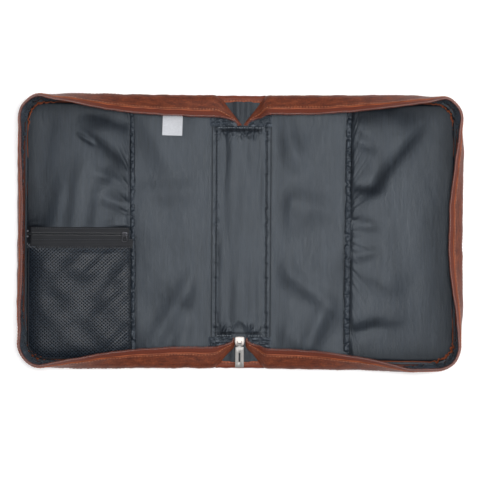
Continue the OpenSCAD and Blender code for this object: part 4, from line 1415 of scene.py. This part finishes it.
def build_sleeve(name, sign, low_y, folds, shelves, label):
    """One sleeve: settled as cloth, then given its large folds and the fans beside its hem.

    It reaches down to low_y, or over the whole cover where that is None.
    """
    x_in = sum(HEM_LINE[name])
    start, edge, hem = sleeve_start(sign, x_in, low_y)
    rows, cols = start.shape[:2]
    seed = 141 + sign
    gy = start[..., 1]
    start[0, :, 2] += 0.5 * gather(gy[0], 121 + sign, GATHER)
    pinned = np.zeros((rows, cols), bool)
    pinned[0] = pinned[-1] = True
    pinned[:, 0] = pinned[:, -1] = True
    grow = 0.001 + 0.018 * np.exp(-hem / 7)
    if low_y is not None:
        start[:, 0, 2] = POCKET_Z - 0.5 - 3.4 * np.clip(1 - edge[:, 0] / 8, 0, 1)
        grow = grow + 0.02 * np.exp(-(gy - low_y) / 12)
    start[..., 2] += 0.22 * waves(start[..., 0], gy, seed, 60, 30) * smooth(edge / 22) * (~pinned)
    cloth = softened(drape(start, pinned, grow, INSIDE_Z + 0.8), 4)
    cloth = finer(cloth, rows * 2, cols * 2)
    t_hem = np.abs(cloth[..., 0]) - x_in
    reach = np.exp(-t_hem / 5.0) * smooth(t_hem / 1.5)
    flare = 1 + t_hem / 30
    fanned = gather(cloth[..., 1] / flare, 121 + sign, GATHER)
    cloth[..., 2] += broad_folds(cloth[..., 0], cloth[..., 1], folds, shelves)
    slope = normals(cloth, UP)
    tilt = np.hypot(slope[..., 0], slope[..., 1])
    cloth[..., 2] += 0.8 * reach * fanned
    edge = inset_of(cloth[..., 0], cloth[..., 1])
    cloth[..., 2] = np.maximum(cloth[..., 2], INSIDE_Z + 0.9)
    cloth = slanted(cloth, name, sign)
    up = normals(cloth, UP)
    m = Mesh()
    # painted shade: darker near the sewn rim, on tilted slopes and in the nips of the fans by the
    # hem
    rim_and_slope_shade = 0.75 * np.exp(-((edge - SLEEVE_INSET).clip(0) / 13) ** 1.3)
    rim_and_slope_shade = rim_and_slope_shade + 0.6 * smooth((tilt - 0.06) / 0.42) * smooth((t_hem - 1) / 4)
    m.shell(cloth, cloth - up * SLEEVE_T,
            painted_light_and_wear=np.clip(0.94 * rim_and_slope_shade - 0.2 * reach * fanned, 0, 0.8))
    return placed(m, label, NYLON, f"{name}_cover", "nylon", [f"{name}_sleeve"])


def build_sleeves():
    for name, sign in SIDES:
        hem, thread = build_hem(name, sign)
        low_y = ZIP_Y + 5.6 if sign < 0 else None
        folds = LEFT_SLEEVE_FOLDS if sign < 0 else RIGHT_SLEEVE_FOLDS
        shelves = LEFT_SLEEVE_SHELVES if sign < 0 else RIGHT_SLEEVE_SHELVES
        label = "left_upper_sleeve" if sign < 0 else "right_sleeve_cloth"
        piece = build_sleeve(name, sign, low_y, folds, shelves, label)


def lower_sleeve_height(x, y):
    """Top of the left sleeve below the pocket zip, behind the mesh."""
    edge = inset_of(x, y) - SLEEVE_INSET
    z = 5.9 + 2.4 * (1 - np.exp(-edge / 10))
    z = z + 0.28 * waves(x, y, 151, 50, 22, (1, 1.5))
    z = z + ridge(x, y, (-108, -40), (-160, -96), 9, 0.7)
    z = z + ridge(x, y, (-190, -30), (-140, -60), 8, 0.5)
    return np.minimum(z, 9.0 + 0.06 * waves(x, y, 153, 20, 9))


def build_lower_sleeve():
    x_in = sum(HEM_LINE["left"])
    x = columns(x_in, SLEEVE_INSET, 2.2)[:, None]
    half = half_height(x, SLEEVE_INSET)
    top = ZIP_Y - 3.8
    grid = grid_of(-x, -half + (half + top) * np.linspace(0, 1, 70))
    grid = at_height(grid, lower_sleeve_height(grid[..., 0], grid[..., 1]))
    grid = slanted(grid, "left", -1)
    m = Mesh()
    # painted shade: the whole lower sleeve is darkened, as it lies in the mesh's shade
    m.shell(grid, grid - (0, 0, SLEEVE_T), painted_light_and_wear=0.75)
    piece = placed(m, "left_lower_sleeve", NYLON, "left_cover", "nylon")


# ------------------------------------------------------------------ mesh pocket and its zip


NET_FOLDS = [((-100, -26), (-132, -62), 6, 1.1), ((-100, -50), (-140, -84), 7, 1.1),
             ((-100, -74), (-136, -112), 6, 1.1), ((-100, -96), (-124, -118), 5, 0.9),
             ((-150, -22), (-176, -52), 7, 0.9), ((-122, -20), (-152, -48), 5, 0.9)]


def net_height(x, y):
    """The mesh lies over the sleeve, tight at the zip and in soft folds towards the hem."""
    edge = inset_of(x, y) - 5.0
    base = lower_sleeve_height(x, y) + 1.25
    z = np.maximum(base, 7.2 + 4.3 * (1 - np.exp(-edge / 8)))
    belly = smooth(edge / 18) * smooth((MESH_Y - y) / 14)
    z = z + belly * (0.5 + 0.30 * waves(x, y, 161, 42, 18, (1.2, 1)))
    for fold in NET_FOLDS:
        z = z + ridge(x, y, *fold) * smooth(edge / 8)
    near_zip = smooth((MESH_Y + 1 - y) / 7)
    z = z * near_zip + (POCKET_Z + 0.35) * (1 - near_zip)
    return np.clip(z, base - 0.3, 14.2)


def build_net(strips):
    """Mesh of real holes on a diamond lattice."""
    wide, tall = 3.5, 3.2
    sides = 8
    turn = np.linspace(0, 2 * PI, sides, endpoint=False)
    rim = np.stack([np.cos(turn) * wide / 2, np.sin(turn) * tall / 2], 1)
    rim[1::2] = np.array([(1, 1), (-1, 1), (-1, -1), (1, -1)]) * (wide / 4, tall / 4)
    hole = np.stack([np.cos(turn) * 0.9, np.sin(turn) * 0.84], 1)
    centres = []
    for j in range(-2, 76):
        y = MESH_Y + 0.4 - j * tall / 2
        for i in range(0, 34):
            x = -205 + (i + (j % 2) / 2) * wide
            if inset_of(x, y) > 6.9 and x < -sum(HEM_LINE["left"]) - 0.2:
                centres.append((x, y))
    centres = np.array(centres)
    n = len(centres)
    flat_rim = centres[:, None] + rim
    flat_hole = centres[:, None] + hole
    keys = np.round(flat_rim.reshape(-1, 2) * 20).astype(int)
    unique, back = np.unique(keys, axis=0, return_inverse=True)
    rim_points = unique / 20.0
    hole_points = flat_hole.reshape(-1, 2)
    count = len(rim_points) + len(hole_points)
    flat = np.vstack([rim_points, hole_points])
    top = np.column_stack([flat, net_height(flat[:, 0], flat[:, 1])])
    top[: len(rim_points), 2] += 0.10
    top = slanted(top, "left", -1)
    under = top - (0, 0, 0.42)
    rim_index = np.ravel(back).reshape(n, sides)
    hole_index = np.arange(n * sides).reshape(n, sides) + len(rim_points)
    nxt_rim, nxt_hole = np.roll(rim_index, -1, 1), np.roll(hole_index, -1, 1)
    upper = np.stack([rim_index, nxt_rim, nxt_hole, hole_index], 2).reshape(-1, 4)
    wall = np.stack([hole_index, nxt_hole, nxt_hole + count, hole_index + count], 2).reshape(-1, 4)
    lower = upper[:, ::-1] + count
    pairs = np.stack([rim_index, nxt_rim], 2).reshape(-1, 2)
    code = np.sort(pairs, 1) @ np.array([count, 1])
    _, where, uses = np.unique(code, return_index=True, return_counts=True)
    edge = pairs[where[uses == 1]]
    skirt = np.column_stack([edge[:, ::-1], edge + count])
    m = Mesh()
    m.add(np.vstack([top, under]), np.vstack([upper, wall, lower, skirt]))
    piece = placed(m, "pocket_net", NET, "left_cover", "mesh", ["mesh_panel"], sharp=75)

    # taped edge that holds the mesh in the seam
    x = np.concatenate([np.linspace(-SLEEVE_EDGE["left"] - 6, -STRAIGHT_X, 60),
                        -STRAIGHT_X - 15.2 * np.sin(np.radians(np.linspace(5, 90, 16)))])
    y = -half_height(x, 6.8)
    line = np.column_stack([x, y])
    side = np.column_stack([np.full(50, x[-1]), np.linspace(y[-1] + 2, MESH_Y, 50)])
    line = even(np.vstack([line, side]), 260)
    z = net_height(line[:, 0], line[:, 1])
    m = Mesh()
    m.tube(slanted(np.column_stack([line, z - 0.1]), "left", -1), 0.75, 8, flat=0.7)
    tape = placed(m, "pocket_net_edge", POCKET_TAPE, "left_cover")


def zip_dip(x):
    """How far the pocket zip sinks into the seam at its outer end."""
    return smooth((-198.6 - x) / 5) * 2.6


def flat_band(name, node, x, y, z, sag, thick):
    """Band across the left cover at height z + sag; gives its piece and its upper grid."""
    grid = at_height(grid_of(x[:, None], y), z - zip_dip(x)[:, None] + sag)
    m = Mesh()
    m.shell(grid, grid - (0, 0, thick))
    return placed(m, name, POCKET_TAPE, "left_cover", "pocket_tape", [node]), grid


def build_pocket_zip():
    """Tapes, coils, band and stitches of the pocket's zip; gives the pieces."""
    z = POCKET_Z + 0.35
    inner_x = -SLEEVE_EDGE["left"] - HEM_W
    x = np.linspace(POCKET_OUT_X, inner_x + 0.6, 150)
    lift = 0.10 * waves(x, 0 * x, 171, 40, 18)[:, None]
    y = np.linspace(ZIP_Y + 0.35, ZIP_Y + 6.6, 12)
    roll = 0.25 * hump(y, y.max(), 0.7)
    upper, _ = flat_band("pocket_tape_upper", "pocket_upper_tape", x, y, z, lift + roll, TAPE_T)
    y = np.linspace(ZIP_Y - 5.0, ZIP_Y - 0.35, 10)
    lower, _ = flat_band("pocket_tape_lower", "pocket_lower_tape", x, y, z, lift, TAPE_T)
    strips = [upper, lower]

    xb = np.linspace(POCKET_OUT_X, -SLEEVE_EDGE["left"] - 1.2, 160)
    y = np.linspace(ZIP_Y - 13.3, ZIP_Y - 4.4, 18)
    puff = 0.30 * np.sin(PI * np.clip((y - y[0] - 0.9) / 7.0, 0, 1)) ** 0.6
    puff = puff + 0.22 * waves(xb, 0 * xb, 173, 9, 4)[:, None] * hump(y, y[0], 1.6)
    sag = 0.10 * waves(xb, 0 * xb, 171, 40, 18)[:, None] + puff
    band, grid = flat_band("pocket_band", "mesh_band", xb, y, z + 0.32, sag, 0.5)
    m = Mesh()
    for at in (ZIP_Y - 5.2, ZIP_Y - 12.3):
        line = grid_line(grid, np.interp(at, y, np.arange(len(y))))
        stitch(m, line[4:], UP, 2.2, 1.5, 0.42, 0.36, 0.03)
    line = grid_of(x, ZIP_Y + 5.4, z + 0.05 + lift[:, 0])
    stitch(m, line[12:], UP, 2.2, 1.5, 0.42, 0.36, 0.05)
    thread = placed(m, "pocket_zip_stitches", THREAD_GREY, "left_cover")

    # two coils of teeth that meet on the zip's line
    across = np.array([[0, 1, 0], [1, 0, 0], [0, 0, 1]], float)
    for place, side in (("upper", 1), ("lower", -1)):
        xs = np.arange(POCKET_OUT_X + 1.5, inner_x - 0.4, 1.15) + (0.29 * side)
        teeth_z = z + 0.5 - zip_dip(xs)
        at = grid_of(xs, ZIP_Y + side * 0.72, teeth_z)
        m = Mesh()
        m.stamp(bead(1.75, 0.72, 0.95), at, np.broadcast_to(across, (len(xs), 3, 3)))
        m.tube(grid_of(xs, ZIP_Y + side * 1.15, teeth_z + 0.08), 0.36, 6)
        strips.append(placed(m, f"pocket_coil_{place}_teeth", POCKET_COIL, "left_cover",
                             "pocket_coil", [f"pocket_{place}_coil"]))
    return strips + [band, thread]


def build_label():
    lo, hi = low("care_label"), high("care_label")
    t = np.linspace(0, 1, 34)[:, None]
    u = np.linspace(-0.5, 0.5, 20)[None]
    wide, tall = hi[0] - lo[0], hi[1] - lo[1]
    lean = math.sin(math.radians(1.6))
    y = lo[1] + tall * t
    z = INSIDE_Z + 1.35 + 0.9 * t + 0.5 * (2 * u) ** 2 * (1 - t)
    grid = grid_of((lo[0] + hi[0]) / 2 + wide * u + (y - lo[1]) * lean, y - wide * u * lean,
                   z + 0.5 * hump(t, 0, 0.12))
    m = Mesh()
    m.shell(grid, grid - (0, 0, 0.22))
    piece = placed(m, "blank_label", LABEL, "left_cover", "label", ["care_label"])


# ------------------------------------------------------------------ metal parts


def rounded(points):
    """Closed smooth outline of 64 points through those of one half, mirrored in X."""
    whole = list(points) + [(-x, y) for x, y in reversed(points)]
    loop = curve(whole[-3:] + whole + whole[:3], 400)
    start = np.argmin(np.abs(loop[:200] - whole[0]).sum(1))
    finish = 200 + np.argmin(np.abs(loop[200:] - whole[0]).sum(1))
    return even(loop[start:finish + 1], 65)[:-1]


def around(idx):
    """Quads between the rows of a table of point numbers; each row closes on itself."""
    nxt = np.roll(idx, -1, 1)
    return np.column_stack([idx[:-1].ravel(), nxt[:-1].ravel(), nxt[1:].ravel(), idx[1:].ravel()])


def stacked(mesh, rings):
    """Closed solid through level rings, each a flat outline with its height."""
    rings = np.array([np.column_stack([flat, np.full(len(flat), z)]) for flat, z in rings])
    idx = np.arange(rings[..., 0].size).reshape(rings.shape[:2])
    base = mesh.count
    mesh.add(rings, around(idx))
    mesh.faces += [(idx[0] + base).tolist(), (idx[-1][::-1] + base).tolist()]


def layered(mesh, outline, layers, centre):
    """Closed solid of scaled copies of an outline at rising heights: [(scale, z), ...]."""
    c = np.array(centre, float)
    stacked(mesh, [(c + (outline - c) * scale, z) for scale, z in layers])


def block(mesh, lo, hi, bevel):
    """Box with rounded vertical and level edges."""
    lo, hi = np.array(lo, float), np.array(hi, float)
    c, half = (lo + hi) / 2, (hi - lo) / 2
    b = min(bevel, half.min() * 0.9)
    turn = np.radians(np.arange(0, 360, 15))
    sx, sy = np.sign(np.cos(turn + 1e-6)), np.sign(np.sin(turn + 1e-6))
    steps = [(b * (1 - math.sin(angle)), lo[2] + b * (1 - math.cos(angle)))
             for angle in np.radians([0, 30, 60, 90])]
    steps = steps + [(inset, hi[2] - (z - lo[2])) for inset, z in reversed(steps)]
    stacked(mesh, [(np.column_stack([sx * (half[0] - b) + (b - inset) * np.cos(turn),
                                     sy * (half[1] - b) + (b - inset) * np.sin(turn)]) + c[:2], z)
                   for inset, z in steps])


def ringed(mesh, outer, inner, half_t, bevel):
    """Flat plate with a hole: outer and inner outlines of the same length, centred on z 0."""
    def loops(line, sign):
        away = np.roll(line, -1, 0) - np.roll(line, 1, 0)
        out = np.column_stack([away[:, 1], -away[:, 0]])
        out /= np.linalg.norm(out, axis=1)[:, None]
        middle = line.mean(0)
        facing = np.sign(np.sum(out * (line - middle), axis=1).sum())
        return line - out * facing * sign * bevel
    o_in, i_in = loops(outer, 1), loops(inner, -1)
    section = [(o_in, -half_t), (outer, -half_t + bevel), (outer, half_t - bevel), (o_in, half_t),
               (i_in, half_t), (inner, half_t - bevel), (inner, bevel - half_t), (i_in, -half_t)]
    rings = np.array([np.column_stack([line, np.full(len(line), z)]) for line, z in section])
    idx = np.arange(rings[..., 0].size).reshape(rings.shape[:2])
    mesh.add(rings, around(np.vstack([idx, idx[:1]])))


def box_outline(x0, x1, y0, y1, radius, count=72):
    """Rounded rectangle, its points at even turns round its middle."""
    cx, cy = (x0 + x1) / 2, (y0 + y1) / 2
    hx, hy = (x1 - x0) / 2, (y1 - y0) / 2
    turn = np.radians(np.linspace(0, 90, 8))
    quarter = [(sx * (hx - radius) + radius * math.cos(a + k * PI / 2),
                sy * (hy - radius) + radius * math.sin(a + k * PI / 2))
               for k, (sx, sy) in enumerate(((1, 1), (-1, 1), (-1, -1), (1, -1))) for a in turn]
    loop = np.array(quarter + quarter[:1])
    return even(loop, count + 1)[:-1] + (cx, cy)


def turned(mesh, angle, pivot):
    """Turns all points of a mesh about the X axis and puts their origin at the pivot."""
    c, s = math.cos(angle), math.sin(angle)
    spin = np.array([[1, 0, 0], [0, c, -s], [0, s, c]])
    mesh.points = [p @ spin.T + pivot for p in mesh.points]


# Right half of the main slider's plates, from the nose up, round the slider's middle
SHIELD = [(0.8, -6.1), (2.1, -4.8), (3.6, -2.6), (4.45, -0.4), (4.6, 2.2), (4.35, 4.2),
          (3.4, 5.0), (1.5, 5.2)]
PULL_LENGTH = 22.6
PULL_TILT = math.radians(9)


def build_slider():
    lo, hi = low("zip_slider_body"), high("zip_slider_body")
    centre = (0, SLIDER_Y)
    shield = rounded(SHIELD) + centre
    plate_z, crown_z = lo[2], lo[2] + 3.0
    pivot = np.array([0, -107.0, hi[2] - 1.4])
    m = Mesh()
    layered(m, shield, [(0.90, plate_z), (0.98, plate_z + 0.12), (1.0, plate_z + 0.35),
                        (1.0, plate_z + 0.6), (0.96, plate_z + 0.8)], centre)
    layered(m, shield, [(0.92, crown_z), (0.99, crown_z + 0.15), (1.0, crown_z + 0.4),
                        (0.985, crown_z + 0.7), (0.93, crown_z + 0.92), (0.80, crown_z + 1.05),
                        (0.55, crown_z + 1.12), (0.2, crown_z + 1.14)], centre)
    block(m, (-0.95, -105.6, plate_z + 0.3), (0.95, -100.9, crown_z + 0.4), 0.3)
    for side in (-1, 1):
        rail = curve([(side * 4.2, -102.3), (side * 4.35, -104.6), (side * 3.4, -107.9)], 14)
        line = np.column_stack([rail, np.full(14, crown_z + 0.05)])
        m.tube(line, 0.42, 8)
        line[:, 2] = plate_z + 0.75
        m.tube(line, 0.36, 8)
        x = side * 2.05
        arch = curve([(-109.3, crown_z + 0.6), (-108.9, pivot[2] - 0.4), (-107.0, pivot[2] + 0.75),
                      (-105.2, pivot[2] - 0.5), (-104.4, crown_z + 0.6)], 22)
        m.tube(np.column_stack([np.full(22, x), arch]), 0.52, 8, up=(1, 0, 0), flat=0.8)
    bar = np.column_stack([np.linspace(-2.3, 2.3, 8), np.full(8, pivot[1]), np.full(8, pivot[2])])
    m.tube(bar, 0.62, 14)
    placed(m, "zip_slider_metal", SILVER, "zip_slider", "slider", ["zip_slider_body"])

    wide = high("zip_pull_tab")[0] - low("zip_pull_tab")[0]
    m = Mesh()
    outer = box_outline(-wide / 2, wide / 2, -PULL_LENGTH, -2.4, 0.6)
    inner = box_outline(-0.75, 0.75, -PULL_LENGTH / 2 - 6.0, -PULL_LENGTH / 2 + 3.0, 0.7)
    ringed(m, outer, inner, 0.6, 0.16)
    block(m, (-1.45, -3.6, -0.55), (1.45, -1.2, 0.55), 0.25)
    turn = np.linspace(0, 2 * PI, 28, endpoint=False)
    ring = np.column_stack([np.zeros(28), 1.12 * np.cos(turn), 1.12 * np.sin(turn)])
    for x in np.linspace(-1.05, 1.05, 4):
        m.tube(ring + (x, 0, 0), 0.38, 8, up=(1, 0, 0), closed=True)
    turned(m, PULL_TILT, pivot)
    placed(m, "zip_pull_metal", STEEL, "zip_pull", "pull", ["zip_pull_tab"])


def build_pocket_slider():
    lo, hi = low("pocket_slider_body"), high("pocket_slider_body")
    x, y = (lo[0] + hi[0]) / 2, (lo[1] + hi[1]) / 2
    crown = POCKET_Z + 1.75
    pivot = np.array([x, y, hi[2] - 0.5])
    m = Mesh()
    half = box_outline(-2.8, 2.8, -2.6, 2.6, 1.4, 48)
    half[:, 1] *= 1 - 0.12 * (half[:, 0] + 2.8) / 5.6
    plate = half + (x, y)
    layered(m, plate, [(0.9, crown), (1.0, crown + 0.2), (1.0, crown + 0.45), (0.92, crown + 0.66),
                       (0.7, crown + 0.75), (0.3, crown + 0.8)], (x, y))
    layered(m, plate, [(0.92, lo[2]), (1.0, lo[2] + 0.15), (1.0, lo[2] + 0.4),
                       (0.9, lo[2] + 0.55)], (x, y))
    block(m, (x + 0.9, y - 0.25, lo[2] + 0.2), (x + 2.3, y + 0.25, crown + 0.3), 0.12)
    arch = curve([(x - 2.4, crown + 0.5), (x - 2.2, pivot[2] - 0.3), (x, pivot[2] + 0.3),
                  (x + 2.2, pivot[2] - 0.3), (x + 2.4, crown + 0.5)], 26)
    m.tube(np.column_stack([arch[:, 0], np.full(26, y), arch[:, 1]]), 0.42, 8, up=(0, 1, 0))
    placed(m, "pocket_slider_metal", DARK_STEEL, "pocket_slider", "pocket_metal",
           ["pocket_slider_body"])

    m = Mesh()
    ring = np.array([(math.cos(a) * 0.95, math.sin(a) * 0.95)
                     for a in np.linspace(0, 2 * PI, 20)[:-1]])
    for dx in (-0.5, 0.5):
        m.tube(np.column_stack([np.full(19, dx), ring]), 0.36, 8, up=(1, 0, 0), closed=True)
    loop = box_outline(-2.4, 2.4, -7.2, -1.0, 1.5, 60)
    loop[:, 0] *= 0.62 + 0.38 * smooth((-1.0 - loop[:, 1]) / 4.5)
    m.tube(np.column_stack([loop, np.zeros(60)]), 0.46, 8, closed=True)
    turned(m, PULL_TILT, pivot + (0, 0, -0.1))
    placed(m, "pocket_pull_wire", DARK_STEEL, "pocket_pull", "pocket_metal",
           ["pocket_pull_loop"])


# ------------------------------------------------------------------ everything together

for side_name, side_sign in SIDES:
    build_walls(side_name, side_sign, build_piping(side_name, side_sign))
    build_cover_leather(side_name, side_sign)
    build_cover_lining(side_name, side_sign, LEFT_FOLDS if side_sign < 0 else RIGHT_FOLDS)
    build_strip(side_name, side_sign)
    for which_end in (1, -1):
        build_tuck(side_name, side_sign, which_end)
for which_end in (1, -1):
    build_gusset(which_end)
build_foam()
build_sleeves()
build_lower_sleeve()
build_net(build_pocket_zip())
build_label()
build_slider()
build_pocket_slider()

# the boards and end stops stay as CAD nodes, and take a material here
for node_name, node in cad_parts.items():
    if not node.hide_render:
        node.data.materials.clear()
        node.data.materials.append(BOARD if "board" in node_name else DARK_STEEL)

# ------------------------------------------------------------------ floor, light and camera


def build_floor():
    mesh = bpy.data.meshes.new("floor")
    corners = [(-4, -4), (4, -4), (4, 4), (-4, 4)]
    mesh.from_pydata([(x, y, -0.0001) for x, y in corners], [], [(0, 1, 2, 3)])
    look = Look("floor_paper", "Object", Specular_IOR_Level=0.2)
    paper = look.noise(60, (1, 1), detail=2)
    look.finish(Emission_Color=(1, 1, 1, 1), Emission_Strength=0.16)
    look.finish(look.blend(paper, (0.93, 0.93, 0.93, 1), (0.96, 0.96, 0.96, 1)), Roughness=0.85)
    mesh.materials.append(look.material)
    floor = bpy.data.objects.new("floor", mesh)
    bpy.context.scene.collection.objects.link(floor)


def soft_box(name, place, aim, size, power):
    data = bpy.data.lights.new(name, "AREA")
    data.shape = "RECTANGLE"
    data.size, data.size_y = size
    data.energy = power
    lamp = bpy.data.objects.new(name, data)
    bpy.context.scene.collection.objects.link(lamp)
    lamp.location = place
    lamp.rotation_euler = (Vector(aim) - Vector(place)).to_track_quat("-Z", "Y").to_euler()


build_floor()
soft_box("overhead", (0.08, 0.08, 2.0), (0, 0, 0), (0.8, 0.65), 24)
soft_box("right_side", (1.7, 0.5, 1.3), (0, 0, 0), (1.0, 1.0), 20)
soft_box("left_side", (-1.6, -0.6, 1.4), (0, 0, 0), (1.0, 1.0), 6)
world = bpy.data.worlds.new("studio")
world.use_nodes = True
backdrop = world.node_tree.nodes["Background"]
backdrop.inputs["Color"].default_value = (0.95, 0.97, 1, 1)
backdrop.inputs["Strength"].default_value = 0.38
bpy.context.scene.world = world
bpy.context.scene.view_settings.view_transform = "Standard"

VIEW_H = 1.7
VIEW_WIDE = 0.4564  # width of floor in view
camera = bpy.data.cameras.new("camera")
camera.sensor_width = 36
camera.lens = 36 * VIEW_H / VIEW_WIDE
camera_object = bpy.data.objects.new("camera", camera)
camera_object.location = (-0.0002, -0.0078, VIEW_H + 0.012)
camera_object.rotation_euler = (0, 0, math.radians(0.35))
bpy.context.scene.collection.objects.link(camera_object)
bpy.context.scene.camera = camera_object
